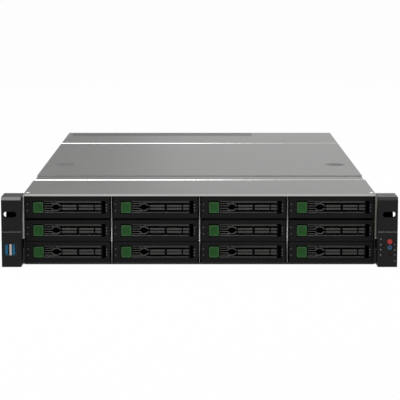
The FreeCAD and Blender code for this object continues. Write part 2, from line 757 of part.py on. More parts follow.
def make_carrier_pieces():
    """One carrier, its lever and its button, about the middle of the bezel's lower front edge."""
    bezel = doc.addObject("PartDesign::Body", "Bezel")
    outline = sketch(bezel, "BezelOutline", "XZ", "0",
                     [rectangle(("-bezel_width/2", "bezel_width/2"), ("0", "bezel_tall"))],
                     [("-pipe_offset", "pipe_low", "pipe_radius"), ("-pipe_offset", "pipe_high", "pipe_radius")])
    pad(bezel, "BezelBlock", outline, "bezel_depth", reverse=True)
    hollow = sketch(bezel, "BezelRecess", "XZ", "0",
                    [rectangle(("-recess_left", "recess_right"), ("recess_low", "recess_high"))])
    pocket(bezel, "BezelPocket", hollow, "recess_depth")
    pin = round_bar("LeverPin", ("lever_pin_x", "lever_pin_behind", "recess_low"), "z",
                    "lever_pin_radius", "recess_high - recess_low")
    front = fuse("CarrierFront", [bezel, pin])
    rails = []
    for side, label in ((-1, "Left"), (1, "Right")):
        inner, outer = "%d*drive_width/2" % side, "%d*bezel_width/2" % side
        span = (outer, inner) if side < 0 else (inner, outer)
        rails.append(box("CarrierRail" + label, span,
                         ("bezel_depth", "bezel_depth + drive_setback + drive_length"),
                         ("(bezel_tall - carrier_rail_tall)/2", "(bezel_tall + carrier_rail_tall)/2")))
    frame = fuse("CarrierFrame", [front] + rails)
    drive = box("HardDrive", ("-drive_width/2", "drive_width/2"),
                ("bezel_depth + drive_setback", "bezel_depth + drive_setback + drive_length"),
                ("(bezel_tall - drive_height)/2", "(bezel_tall + drive_height)/2"))
    carrier = group("Carrier", [frame, drive])

    lever = doc.addObject("PartDesign::Body", "Lever")
    openings = []
    lines = []
    low = "lever_low + lever_bar"
    for number in range(3):
        lines.append((low, "%s + lever_slot" % low))
        low = "%s + lever_slot + bar_middle" % low
    stretch = "((lever_slot_start + lever_right - lever_bar - 3*lever_post)/4)"
    for bottom, top in lines:
        for number in range(4):
            left = "-lever_slot_start + %d*(%s + lever_post)" % (number, stretch)
            right = "%s + %s" % (left, stretch)
            if number == 3:
                right = "lever_pin_x - 2.5*lever_pin_radius"
            openings.append(rectangle((left, right), (bottom, top)))
    plan = [rectangle(("-lever_left", "lever_right"), ("lever_low", "lever_low + lever_tall"))] + openings
    pad(lever, "LeverGrille", sketch(lever, "LeverOutline", "XZ", "lever_setback", plan),
        "lever_depth", reverse=True)
    hole = sketch(lever, "LeverHole", "XY", "lever_low", [],
                  [("lever_pin_x", "lever_pin_behind", "lever_pin_radius + lever_pin_fit")])
    pocket(lever, "LeverBore", hole, "lever_tall", reverse=True)

    button = box("Button", ("-button_left", "-button_left + button_width"),
                 ("button_setback", "button_setback + button_depth"), ("button_low", "button_low + button_tall"))
    for number, base in enumerate(ROWS, start=1):
        for column in range(int(SIZES["drive_columns"])):
            place = (bay_middle(column), "face", base + " + bezel_end_gap")
            mark = "%d%d" % (number, column + 1)
            node("drive_carrier_" + mark, copy_at("CarrierAt" + mark, carrier, *place))
            node("carrier_lever_" + mark, copy_at("LeverAt" + mark, lever, *place))
            node("release_button_" + mark, copy_at("ButtonAt" + mark, button, *place))


# ---------------------------------------------------------------- fans

def make_fans():
    """Fan wall with three fan frames, and the three rotors that turn on their spindles."""
    block = box("FanBlock", ("-fan_size/2", "fan_size/2"), ("0", "fan_depth"), ("-fan_size/2", "fan_size/2"))
    bore = round_bar("FanBore", ("0", "0", "0"), "y", "fan_bore", "fan_depth")
    motor = round_bar("FanMotor", ("0", "fan_depth - motor_depth", "0"), "y", "motor_radius", "motor_depth")
    strut_depth = ("fan_depth - motor_depth/2", "fan_depth")
    struts = [
        box("StrutAcross", ("-fan_bore - strut_root", "fan_bore + strut_root"), strut_depth, ("-strut_width/2", "strut_width/2")),
        box("StrutUp", ("-strut_width/2", "strut_width/2"), strut_depth,
            ("-fan_bore - strut_root", "fan_bore + strut_root")),
    ]
    spindle = round_bar("Spindle", ("0", "fan_depth - motor_depth - rotor_gap - rotor_depth", "0"), "y",
                        "spindle_radius", "rotor_depth + rotor_gap + spindle_root")
    frame = fuse("FanFrame", [cut("FanRing", block, [bore]), motor, spindle] + struts)

    rotor = doc.addObject("PartDesign::Body", "Rotor")
    pad(rotor, "RotorHub", sketch(rotor, "HubOutline", "XZ", "0", [], [("0", "0", "rotor_radius")]),
        "rotor_depth", reverse=True)
    blade = sketch(rotor, "BladeOutline", "XY", "0",
                   [rectangle(("rotor_radius - blade_root", "blade_reach"), ("-blade_chord/2", "blade_chord/2"))])
    blade.AttachmentOffset.Rotation = Rotation(Vector(1, 0, 0), 52)
    blade.setExpression("AttachmentOffset.Base.y", formula("rotor_depth/2"))
    fin = pad(rotor, "RotorBlade", blade, "blade_sheet", middle=True)
    ring = rotor.newObject("PartDesign::PolarPattern", "RotorBlades")
    ring.Originals = [fin]
    ring.Axis = ([feature for feature in rotor.Origin.OriginFeatures if feature.Role == "Y_Axis"][0], [""])
    ring.Angle = 360
    ring.Occurrences = 7
    rotor.Tip = ring
    turned = cut("RotorBored", rotor, [round_bar("RotorBore", ("0", "-1", "0"), "y",
                                                 "spindle_radius + spindle_fit", "rotor_depth + 2")])

    frames = []
    openings = []
    for number in range(3):
        x = "(%d - 1)*fan_pitch" % number
        frames.append(copy_at("FanFrame%d" % (number + 1), frame, x, "fan_front", "fan_height"))
        openings.append(round_bar("WallOpening%d" % (number + 1), (x, "fan_front - fan_wall_sheet", "fan_height"),
                                  "y", "fan_bore", "fan_wall_sheet"))
        node("fan_rotor_%d" % (number + 1),
             copy_at("RotorAt%d" % (number + 1), turned, x,
                     "fan_front + fan_depth - motor_depth - rotor_gap - rotor_depth", "fan_height"))
    wall = box("FanWall", ("-inner_half + wall_gap", "inner_half - wall_gap"),
               ("fan_front - fan_wall_sheet", "fan_front"), ("tray_sheet", "fan_wall_tall"))
    node("fan_wall", group("FanWallWithFrames", [cut("FanWallCut", wall, openings)] + frames))


# ---------------------------------------------------------------- board, coolers and memory

def socket_places():
    """The middles of the two processor sockets."""
    x = "(-board_left + board_width/2)"
    return [("%s %s socket_pitch/2" % (x, sign), "(board_rear - socket_from_back)") for sign in "-+"]


def module_places():
    """The middles of the memory modules, one bank between and beside the coolers."""
    x = "(-board_left + board_width/2)"
    banks = []
    for number in range(int(SIZES["module_count"])):
        offset = "(%d - (module_count - 1)/2)*module_pitch" % number
        banks.append(("%s + %s" % (x, offset), "(board_rear - socket_from_back)"))
    return banks


def make_board():
    """Main board on its standoffs, with processor sockets, memory sockets and the rear connectors."""
    plate = box("BoardPlate", ("-board_left", "-board_left + board_width"),
                ("board_rear - board_length", "board_rear"), ("board_under", "board_top"))
    holes = []
    for number, (x, y, z, direction) in enumerate(board_screws()):
        holes.append(round_bar("BoardHole%d" % number, (x, y, "board_under"), "z",
                               "shank_radius + shank_fit", "board_sheet"))
    parts = [cut("BoardDrilled", plate, holes)]
    for number, (x, y) in enumerate(socket_places()):
        parts.append(box("ProcessorSocket%d" % number, (x + " - socket_size/2", x + " + socket_size/2"),
                         (y + " - socket_size/2", y + " + socket_size/2"), ("board_top", "board_top + socket_tall")))
    for number, (x, y) in enumerate(module_places()):
        block = box("SocketBlock%d" % number, (x + " - module_socket_width/2", x + " + module_socket_width/2"),
                    (y + " - module_length/2 - module_socket_end", y + " + module_length/2 + module_socket_end"),
                    ("board_top", "board_top + module_socket_tall"))
        groove = box("SocketGroove%d" % number, (x + " - module_sheet/2", x + " + module_sheet/2"),
                     (y + " - module_length/2", y + " + module_length/2"),
                     ("board_top + module_seat", "board_top + module_socket_tall"))
        parts.append(cut("MemorySocket%d" % number, block, [groove]))
    left = "-shield_left + port_first"
    for name, kind in (("SerialPort", "video"), ("VideoPort", "video"), ("UsbStack1", "stack"),
                       ("UsbStack2", "stack"), ("NetworkPort1", "network"), ("NetworkPort2", "network")):
        right = "%s + %s_width" % (left, kind)
        parts.append(box(name, (left, right), ("board_rear - connector_depth", "rear + connector_proud"),
                         ("board_top", "board_top + %s_tall" % kind)))
        left = right + " + port_gap"
    node("main_board", group("BoardWithSockets", parts))


def board_screws():
    """Pan screws that hold the board on its standoffs, round its edge and clear of the memory."""
    listed = []
    for column in range(3):
        for line in range(3):
            if column == 1 and line == 1:
                continue
            x = "-board_left + board_screw_inset + %d*(board_width - 2*board_screw_inset)/2" % column
            y = "board_rear - connector_room - %d*(board_length - connector_room - board_screw_inset)/2" % line
            listed.append((x, y, "board_top", "-z"))
    return listed


def make_heat_sinks():
    """Two finned coolers on the processor sockets, their fins in line with the air."""
    cooler = doc.addObject("PartDesign::Body", "Cooler")
    half = "socket_size/2"
    count = int(SIZES["fin_count"])
    comb = [("-%s" % half, "0"), (half, "0")]
    for number in range(count):
        right = "%s - %d*(socket_size - fin_sheet)/(fin_count - 1)" % (half, number)
        comb += [(right, "sink_tall"), ("%s - fin_sheet" % right, "sink_tall")]
        if number < count - 1:
            following = "%s - %d*(socket_size - fin_sheet)/(fin_count - 1)" % (half, number + 1)
            comb += [("%s - fin_sheet" % right, "sink_base"), (following, "sink_base")]
    profile = sketch(cooler, "CoolerComb", "XZ", "0", [comb])
    pad(cooler, "CoolerFins", profile, "socket_size", middle=True)
    copies = [copy_at("Cooler%d" % number, cooler, x, y, "board_top + socket_tall")
              for number, (x, y) in enumerate(socket_places())]
    node("heat_sinks", group("Coolers", copies))


def make_memory():
    """Memory modules standing in their sockets."""
    modules = []
    for number, (x, y) in enumerate(module_places()):
        modules.append(box("Module%d" % number, (x + " - module_sheet/2", x + " + module_sheet/2"),
                           (y + " - module_length/2", y + " + module_length/2"),
                           ("board_top + module_seat", "board_top + module_seat + module_tall")))
    node("memory_modules", group("Modules", modules))


# ---------------------------------------------------------------- power supplies

def make_power_supplies():
    """Two plug-in supplies with a fixed pull handle, and the sprung latch of each."""
    half = "supply_width/2"
    case = box("SupplyCase", ("-" + half, half), ("-supply_length", "0"), ("0", "supply_tall"))
    inlet = box("InletRecess", ("-inlet_offset - inlet_width/2", "-inlet_offset + inlet_width/2"),
                ("-inlet_depth", "0"), ("(supply_tall - inlet_tall)/2", "(supply_tall + inlet_tall)/2"))
    pins = []
    for number, sign in enumerate((-1, 0, 1)):
        x = "-inlet_offset + %d*inlet_pin_pitch" % sign
        z = "supply_tall/2 %s inlet_pin_step" % ("-" if sign else "+")
        pins.append(box("InletPin%d" % number, (x + " - inlet_pin_width/2", x + " + inlet_pin_width/2"),
                        ("-inlet_depth", "-inlet_pin_setback"),
                        (z + " - inlet_pin_tall/2", z + " + inlet_pin_tall/2")))
    reach = "handle_reach - supply_proud"
    left = "handle_offset - handle_span/2"
    right = "handle_offset + handle_span/2"
    handle_z = ("supply_tall/2 - handle_bar", "supply_tall/2 + handle_bar")
    handle = [
        box("HandleLeft", (left, left + " + handle_bar"), ("0", reach), handle_z),
        box("HandleRight", (right + " - handle_bar", right), ("0", reach), handle_z),
        box("HandleGrip", (left, right), (reach + " - handle_bar", reach), handle_z),
    ]
    supply = fuse("Supply", [cut("SupplyWithInlet", case, [inlet])] + pins + handle)
    latch = box("Latch", (half + " - latch_width - latch_travel", half + " - latch_travel"),
                ("supply_gap", "latch_reach"), ("(supply_tall - latch_tall)/2", "(supply_tall + latch_tall)/2"))
    for number, base in enumerate(("supply_low_1", "supply_low_2"), start=1):
        place = ("supply_middle", "supply_back", base)
        node("power_supply_%d" % number, copy_at("SupplyAt%d" % number, supply, *place))
        node("supply_latch_%d" % number, copy_at("LatchAt%d" % number, latch, *place))


# ---------------------------------------------------------------- ears

def make_ear(side, name, holes, rounds):
    """One plastic ear; side is -1 or 1, holes and rounds are what is sunk into its front."""
    def across(text):
        return "%d*(%s)" % (side, text)
    ear = doc.addObject("PartDesign::Body", name + "Body")
    profile = [("front", "0"), ("ear_back", "0"), ("ear_back", "ear_height - ear_slope"),
               ("ear_back - ear_slope", "ear_height"), ("front + ear_bevel", "ear_height"),
               ("front", "ear_height - ear_bevel")]
    start = "ear_inner" if side > 0 else "-ear_outer"
    pad(ear, name + "Block", sketch(ear, name + "Profile", "YZ", start, [profile]), "ear_outer - ear_inner")
    tall = ("rack_slot_height - rack_slot_tall/2", "rack_slot_height + rack_slot_tall/2")
    run = "(rack_slot_length - rack_slot_tall)/2"
    middle = across("rack_slot_offset")
    slot = sketch(ear, name + "SlotMiddle", "XZ", "front",
                  [rectangle(("%s - %s" % (middle, run), "%s + %s" % (middle, run)), tall)])
    pocket(ear, name + "Slot", slot, "ear_depth")
    for number, sign in enumerate("-+"):
        end = sketch(ear, "%sSlotEnd%d" % (name, number), "XZ", "front", [],
                     [("%s %s %s" % (middle, sign, run), "rack_slot_height", "rack_slot_tall/2")])
        pocket(ear, "%sSlotRound%d" % (name, number), end, "ear_depth")
    outer = across("ear_outer + 1")
    relief = sketch(ear, name + "ReliefOutline", "XY", "slot_relief_low + slot_relief_tall",
                    [[(across("ear_outer - slot_relief"), "front + slot_plate"), (outer, "front + slot_plate"),
                      (outer, "ear_back"), (across("ear_outer - slot_relief_back"), "ear_back")]])
    pocket(ear, name + "Relief", relief, "slot_relief_tall")
    seam = sketch(ear, name + "SeamOutline", "XZ", "front",
                  [rectangle((across("ear_inner - 1"), across("ear_outer + 1")),
                             ("seam_height - seam_width/2", "seam_height + seam_width/2"))])
    pocket(ear, name + "Seam", seam, "seam_depth")
    for number, (x, z, wide, high, deep) in enumerate(holes):
        hole = sketch(ear, "%sHole%d" % (name, number), "XZ", "front",
                      [rectangle(("%s - (%s)/2" % (across(x), wide), "%s + (%s)/2" % (across(x), wide)),
                                 ("%s - (%s)/2" % (z, high), "%s + (%s)/2" % (z, high)))])
        pocket(ear, "%sPocket%d" % (name, number), hole, deep)
    for number, (x, z, radius, deep) in enumerate(rounds):
        hole = sketch(ear, "%sBore%d" % (name, number), "XZ", "front", [], [(across(x), z, radius)])
        pocket(ear, "%sRound%d" % (name, number), hole, deep)
    node(name, ear)


USB_PLACES = ("usb_outer", "usb_outer - usb_pitch")
PUSHES = (("power_button", "power_height", "power_radius", "push_setback"),
          ("locator_button", "locator_height", "locator_radius", "push_setback"),
          ("reset_button", "reset_height", "reset_radius", "reset_setback"))


def make_ears():
    usb_hole = [(x, "usb_height", "usb_width + 2*usb_fit", "usb_tall + 2*usb_fit", "usb_depth + 0.5")
                for x in USB_PLACES]
    make_ear(-1, "left_ear", usb_hole, [])
    push_holes = [("push_offset", z, radius + " + push_fit", setback + " + push_depth + push_travel + push_room")
                  for name, z, radius, setback in PUSHES]
    make_ear(1, "right_ear", [], push_holes)
    for name, z, radius, setback in PUSHES:
        node(name, round_bar(name + "Cap", ("push_offset", "front + " + setback, z), "y", radius, "push_depth"))


def make_usb_ports():
    """Two sockets with metal shells and a tongue each, in the left ear."""
    parts = []
    for number, offset in enumerate(USB_PLACES):
        x = "-(%s)" % offset
        tall = ("usb_height - usb_tall/2", "usb_height + usb_tall/2")
        shell = box("UsbShell%d" % number, (x + " - usb_width/2", x + " + usb_width/2"),
                    ("front + usb_fit", "front + usb_depth"), tall)
        inside = box("UsbInside%d" % number, (x + " - usb_width/2 + usb_wall", x + " + usb_width/2 - usb_wall"),
                     ("front + usb_fit", "front + usb_depth - usb_wall"),
                     ("usb_height - usb_tall/2 + usb_wall", "usb_height + usb_tall/2 - usb_wall"))
        parts.append(cut("UsbCan%d" % number, shell, [inside]))
        parts.append(box("UsbTongue%d" % number,
                         (x + " - usb_width/2 + usb_wall + usb_fit", x + " - usb_width/2 + usb_wall + usb_fit + usb_tongue"),
                         ("front + usb_tongue_setback", "front + usb_depth - usb_wall"),
                         ("usb_height - usb_tall/2 + 3*usb_wall", "usb_height + usb_tall/2 - 3*usb_wall")))
    node("usb_ports", group("UsbPorts", parts))


def make_screws():
    """All visible screws: flat heads in the covers, pan heads on the ear brackets and the board."""
    for number, (x, y, z, direction) in enumerate(TOP_SCREWS + FRONT_SIDE_SCREWS + PANEL_SIDE_SCREWS):
        sunk_screw("SunkScrew%d" % number, x, y, z, direction)
    for number, (x, y, z, direction) in enumerate(bracket_screws() + board_screws()):
        opposite = direction[1:] if direction.startswith("-") else "-" + direction
        head = round_bar("PanHead%d" % number, (x, y, z), opposite, "pan_radius", "pan_tall")
        shank = round_bar("PanShank%d" % number, (x, y, z), direction, "shank_radius", "shank_length - 0.5")
        PAN_SCREWS.append(fuse("PanScrew%d" % number, [head, shank]))
    node("screws", group("Screws", SUNK_SCREWS + PAN_SCREWS))


make_tray()
make_front_cover()
make_sliding_cover()
make_rear_panel()
make_drive_cage()
make_backplane()
make_carrier_pieces()
make_fans()
make_board()
make_heat_sinks()
make_memory()
make_power_supplies()
make_ears()
make_usb_ports()
make_screws()
doc.recompute()

# ---------------------------------------------------------------- checks and export

for thing in doc.Objects:
    if "Invalid" in thing.State or "Error" in thing.State:
        raise RuntimeError("%s failed: %s" % (thing.Name, thing.State))
os.makedirs("parts", exist_ok=True)
for name, piece in NODES.items():
    shape = piece.Shape
    if shape.isNull() or not shape.isValid() or not shape.Solids:
        raise RuntimeError("%s has no valid solid" % name)
    shape.exportStep(os.path.join("parts", name + ".step"))
print("%d nodes written" % len(NODES))
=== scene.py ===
import math

import bmesh
import bpy
from mathutils import Matrix, Vector


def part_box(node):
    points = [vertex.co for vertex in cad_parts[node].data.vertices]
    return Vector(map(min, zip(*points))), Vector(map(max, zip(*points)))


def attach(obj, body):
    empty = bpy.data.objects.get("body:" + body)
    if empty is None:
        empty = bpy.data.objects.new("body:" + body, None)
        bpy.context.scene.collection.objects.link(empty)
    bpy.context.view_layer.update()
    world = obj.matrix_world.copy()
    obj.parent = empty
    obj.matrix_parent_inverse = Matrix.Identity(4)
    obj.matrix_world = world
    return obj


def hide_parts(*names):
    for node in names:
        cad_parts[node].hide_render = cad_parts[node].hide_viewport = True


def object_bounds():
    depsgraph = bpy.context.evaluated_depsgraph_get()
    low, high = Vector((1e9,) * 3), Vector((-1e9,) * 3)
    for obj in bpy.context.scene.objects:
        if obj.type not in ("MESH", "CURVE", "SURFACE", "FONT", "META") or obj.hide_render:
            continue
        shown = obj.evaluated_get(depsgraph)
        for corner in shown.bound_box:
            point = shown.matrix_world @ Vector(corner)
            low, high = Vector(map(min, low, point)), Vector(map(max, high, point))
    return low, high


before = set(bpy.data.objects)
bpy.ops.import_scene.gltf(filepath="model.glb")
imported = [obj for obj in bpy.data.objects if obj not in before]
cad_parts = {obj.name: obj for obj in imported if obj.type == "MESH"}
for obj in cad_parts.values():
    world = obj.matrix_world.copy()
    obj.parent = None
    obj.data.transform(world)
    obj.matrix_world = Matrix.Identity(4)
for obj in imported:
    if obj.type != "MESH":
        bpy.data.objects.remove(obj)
cad_low, cad_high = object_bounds()
MM = 0.001


# ---------------------------------------------------------------- studio
# A pale floor without a visible edge, two soft lamps overhead, a low one behind on the right
# and a long lens that looks slightly down on the front of the server. The floor is white to the camera and in
# reflections, and takes the server's shadow.

FRONT = cad_low.y
LENS = 151.8
CAMERA_BACK = 2.0275
CAMERA_HEIGHT = 0.3713
CAMERA_ASIDE = 0.00056
CAMERA_TILT = 81.9

camera_data = bpy.data.cameras.new("camera")
camera_data.lens = LENS
camera_data.sensor_width = 36
camera_data.clip_start = 0.05
camera_data.clip_end = 200
camera = bpy.data.objects.new("camera", camera_data)
camera.location = (CAMERA_ASIDE, FRONT - CAMERA_BACK, CAMERA_HEIGHT)
camera.rotation_euler = (math.radians(CAMERA_TILT), 0, 0)
bpy.context.scene.collection.objects.link(camera)
bpy.context.scene.camera = camera
bpy.context.scene.view_settings.view_transform = "Standard"


def fed(tree, made, feeds):
    """Give a node's inputs a value each, or the output of another node."""
    for name, value in feeds.items():
        if isinstance(value, bpy.types.NodeSocket):
            tree.links.new(value, made.inputs[name])
        else:
            made.inputs[name].default_value = value
    return made


def node(tree, kind, feeds=None, **settings):
    """A new node with its own settings and what feeds its inputs."""
    made = tree.nodes.new(kind)
    for name, value in settings.items():
        setattr(made, name, value)
    return fed(tree, made, feeds or {})


def maths(tree, operation, first, second):
    """The result of one step of arithmetic on two values or outputs."""
    return node(tree, "ShaderNodeMath", {0: first, 1: second}, operation=operation).outputs[0]


def seen_directly(tree):
    """1 for rays from the camera and for reflections, 0 for the light that falls on things."""
    rays = node(tree, "ShaderNodeLightPath").outputs
    seen = maths(tree, "MAXIMUM", rays["Is Camera Ray"], rays["Is Glossy Ray"])
    return maths(tree, "MAXIMUM", seen, rays["Is Transmission Ray"])


ROOM_LIGHT = 0.42
WHITE = (1, 1, 1, 1)

world = bpy.data.worlds.new("studio")
bpy.context.scene.world = world
world.use_nodes = True
tree = world.node_tree
tree.nodes.clear()
room = node(tree, "ShaderNodeBackground", {"Color": WHITE, "Strength": ROOM_LIGHT})
backdrop = node(tree, "ShaderNodeBackground", {"Color": WHITE})
mix = node(tree, "ShaderNodeMixShader", {"Fac": seen_directly(tree), 1: room.outputs[0], 2: backdrop.outputs[0]})
node(tree, "ShaderNodeOutputWorld", {"Surface": mix.outputs[0]})

FLOOR_HALF = 60
FLOOR_SHADE = 0.82
FLOOR_GLOW = 0.97

floor_material = bpy.data.materials.new("pale_floor")
floor_material.use_nodes = True
tree = floor_material.node_tree
tree.nodes.clear()
lit = node(tree, "ShaderNodeBsdfDiffuse", {"Color": (FLOOR_SHADE, FLOOR_SHADE, FLOOR_SHADE, 1)})
glow = node(tree, "ShaderNodeEmission", {"Color": WHITE})
share = maths(tree, "MULTIPLY", seen_directly(tree), FLOOR_GLOW)
mix = node(tree, "ShaderNodeMixShader", {"Fac": share, 1: lit.outputs[0], 2: glow.outputs[0]})
node(tree, "ShaderNodeOutputMaterial", {"Surface": mix.outputs[0]})

floor_mesh = bpy.data.meshes.new("floor")
floor_mesh.from_pydata(
    [(-FLOOR_HALF, -FLOOR_HALF, 0), (FLOOR_HALF, -FLOOR_HALF, 0),
     (FLOOR_HALF, FLOOR_HALF, 0), (-FLOOR_HALF, FLOOR_HALF, 0)], [], [(0, 1, 2, 3)])
floor_mesh.materials.append(floor_material)
floor = bpy.data.objects.new("floor", floor_mesh)
bpy.context.scene.collection.objects.link(floor)


def soft_lamp(name, place, target, size, power):
    """A rectangular lamp that points from its place to a target and stays out of view."""
    data = bpy.data.lights.new(name, "AREA")
    data.shape = "RECTANGLE"
    data.size, data.size_y = size
    data.energy = power
    lamp = bpy.data.objects.new(name, data)
    lamp.location = place
    lamp.rotation_euler = (Vector(target) - Vector(place)).to_track_quat("-Z", "Y").to_euler()
    lamp.visible_camera = False
    bpy.context.scene.collection.objects.link(lamp)


soft_lamp("overhead_left", (-0.43, -0.42, 1.9), (-0.43, -0.2, 0.05), (0.95, 1.5), 24)
soft_lamp("overhead_right", (1.5, 0.8, 1.9), (0, 0, 0.05), (1.6, 1.6), 14)
soft_lamp("low_right", (0.65, 2.5, 0.85), (0.05, -0.3, 0.08), (1.7, 1.0), 7)


# ---------------------------------------------------------------- tray
# The chassis tray is one sheet of zinc-coated steel, cut and folded, with the two brackets
# that carry the ears welded to its sides. Its edges are deburred.

def new_material(name):
    """A material with its node tree and its shader."""
    material = bpy.data.materials.new(name)
    material.use_nodes = True
    return material, material.node_tree, material.node_tree.nodes["Principled BSDF"]


def ramp(tree, level, low, high, interpolation="LINEAR"):
    """A colour that goes from one (position, colour) to another as a level rises."""
    made = node(tree, "ShaderNodeValToRGB", {"Fac": level})
    made.color_ramp.interpolation = interpolation
    for element, (position, colour) in zip(made.color_ramp.elements, (low, high)):
        element.position = position
        element.color = (*colour, 1)
    return made.outputs["Color"]


def noise(tree, where, scale, detail, **feeds):
    """The level of a noise with a scale and a detail."""
    return node(tree, "ShaderNodeTexNoise",
                {"Vector": where, "Scale": scale, "Detail": detail, **feeds}).outputs["Fac"]


def spread_to(tree, level, low, high):
    """A level from 0 to 1 spread between two values."""
    return node(tree, "ShaderNodeMapRange", {"Value": level, "To Min": low, "To Max": high}).outputs["Result"]


def relief(tree, height, strength, distance):
    """The surface direction that a height gives."""
    return node(tree, "ShaderNodeBump",
                {"Height": height, "Strength": strength, "Distance": distance}).outputs["Normal"]


def sheet_steel(name, light, dark, roughness, grain=900.0, metal=1.0, scratches=0.25, edge_tint=1.0):
    """Zinc-coated sheet: faint cloudy zinc, a fine rolled grain and small changes of gloss."""
    material, tree, steel = new_material(name)
    where = node(tree, "ShaderNodeTexCoord").outputs["Object"]
    clouds = noise(tree, where, 14, 5, Roughness=0.6)
    along = node(tree, "ShaderNodeMapping", {"Vector": where, "Scale": (12, 700, 700)})
    rolled = noise(tree, along.outputs[0], 1, 3)
    zinc = node(tree, "ShaderNodeMix", {"Factor": 0.35, "A": clouds, "B": rolled}).outputs["Result"]
    height = node(tree, "ShaderNodeMix", {"Factor": scratches, "A": noise(tree, where, grain, 2), "B": rolled})
    fed(tree, steel, {"Metallic": metal, "Specular Tint": (edge_tint, edge_tint, edge_tint, 1),
                      "Base Color": ramp(tree, zinc, (0.3, dark), (0.7, light)),
                      "Roughness": spread_to(tree, zinc, roughness - 0.05, roughness + 0.07),
                      "Normal": relief(tree, height.outputs["Result"], 0.06, 0.0002)})
    return material


def finished(name, mesh, materials, body, slot, stands_for=(), edge=0.0, steps=2, edge_finish=0,
             crease=50):
    """Round a mesh's sharp edges, put it in the scene at the origin and tie it to its body."""
    for material in materials:
        mesh.materials.append(material)
    piece = bpy.data.objects.new(name, mesh)
    bpy.context.scene.collection.objects.link(piece)
    if edge:
        rounding = piece.modifiers.new("rounding", "BEVEL")
        rounding.width = edge
        rounding.segments = steps
        rounding.limit_method = "ANGLE"
        rounding.angle_limit = math.radians(38)
        rounding.use_clamp_overlap = True
        # The bevel faces take the material in this slot; the lever bars use it for a painted highlight on their rims.
        rounding.material = edge_finish
        rounding.miter_outer = "MITER_ARC"
        rounding.loop_slide = False
    mesh.shade_smooth()
    mesh.set_sharp_from_angle(angle=math.radians(crease))
    flat = piece.modifiers.new("flat_faces", "WEIGHTED_NORMAL")
    flat.keep_sharp = True
    flat.weight = 90
    depsgraph = bpy.context.evaluated_depsgraph_get()
    made = bpy.data.meshes.new_from_object(piece.evaluated_get(depsgraph))
    piece.modifiers.clear()
    piece.data = made
    made.name = name
    bpy.data.meshes.remove(mesh)
    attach(piece, body)
    if stands_for:
        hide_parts(*stands_for)
    return piece


WELD = 1e-6


def merged_skin(name):
    """A node's own mesh with its corners welded."""
    skin = bmesh.new()
    skin.from_mesh(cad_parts[name].data)
    bmesh.ops.remove_doubles(skin, verts=skin.verts, dist=WELD)
    return skin


def plain_mesh(name, skin):
    """Turn a bmesh into a mesh as it is."""
    mesh = bpy.data.meshes.new(name)
    skin.to_mesh(mesh)
    skin.free()
    return mesh


def merged_copy(name):
    """A node's own mesh as one skin, ready for rounded edges."""
    return plain_mesh(name, merged_skin(name))


def coated(mesh, finish, chosen):
    """Give another finish to the faces that pass a test on their middle and direction."""
    for face in mesh.polygons:
        if chosen(face.center, face.normal):
            face.material_index = finish
    return mesh


def lattice(skin, xs, zs, ys, filled):
    """A plate cut into cells along xs and zs, from ys[0] to ys[1]; filled(i, j) keeps a cell."""
    corners = {}

    def corner(x, y, z):
        key = (round(x, 7), round(y, 7), round(z, 7))
        if key not in corners:
            corners[key] = skin.verts.new(key)
        return corners[key]

    columns, levels = len(xs) - 1, len(zs) - 1
    kept = {(i, j) for i in range(columns) for j in range(levels) if filled(i, j)}
    near, far = ys
    for i, j in kept:
        left, right, low, high = xs[i], xs[i + 1], zs[j], zs[j + 1]
        walls = [
            [(left, near, low), (right, near, low), (right, near, high), (left, near, high)],
            [(left, far, high), (right, far, high), (right, far, low), (left, far, low)],
        ]
        if (i - 1, j) not in kept:
            walls.append([(left, far, low), (left, near, low), (left, near, high), (left, far, high)])
        if (i + 1, j) not in kept:
            walls.append([(right, near, low), (right, far, low), (right, far, high), (right, near, high)])
        if (i, j - 1) not in kept:
            walls.append([(left, far, low), (right, far, low), (right, near, low), (left, near, low)])
        if (i, j + 1) not in kept:
            walls.append([(left, near, high), (right, near, high), (right, far, high), (left, far, high)])
        for wall in walls:
            skin.faces.new([corner(*point) for point in wall])


def block(skin, low, high):
    """A plain rectangular block between two corners."""
    lattice(skin, (low[0], high[0]), (low[2], high[2]), (low[1], high[1]), lambda i, j: True)


def made_mesh(name, skin):
    """Close a bmesh with its faces outward and turn it into a mesh."""
    bmesh.ops.recalc_face_normals(skin, faces=skin.faces)
    return plain_mesh(name, skin)


def boxes(name, *corners):
    """A mesh of plain blocks, each given by its low and high corner."""
    skin = bmesh.new()
    for low, high in corners:
        block(skin, low, high)
    return made_mesh(name, skin)


TRAY_HALF = 216.0 * MM
tray_low, tray_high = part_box("chassis_tray")
FACE = tray_low.y + 2.0 * MM
TRAY_SHEET = 1.0 * MM
TAB_TOP = 19.0 * MM
FOOT_LOW = 32.6 * MM
FOOT_PROUD = 0.4 * MM
BRACKET_STEP = tray_low.y + 14 * MM
HEM_INNER = 215.2 * MM
HEM_OUTER = 216.3 * MM
HEM_TOP = 84.5 * MM

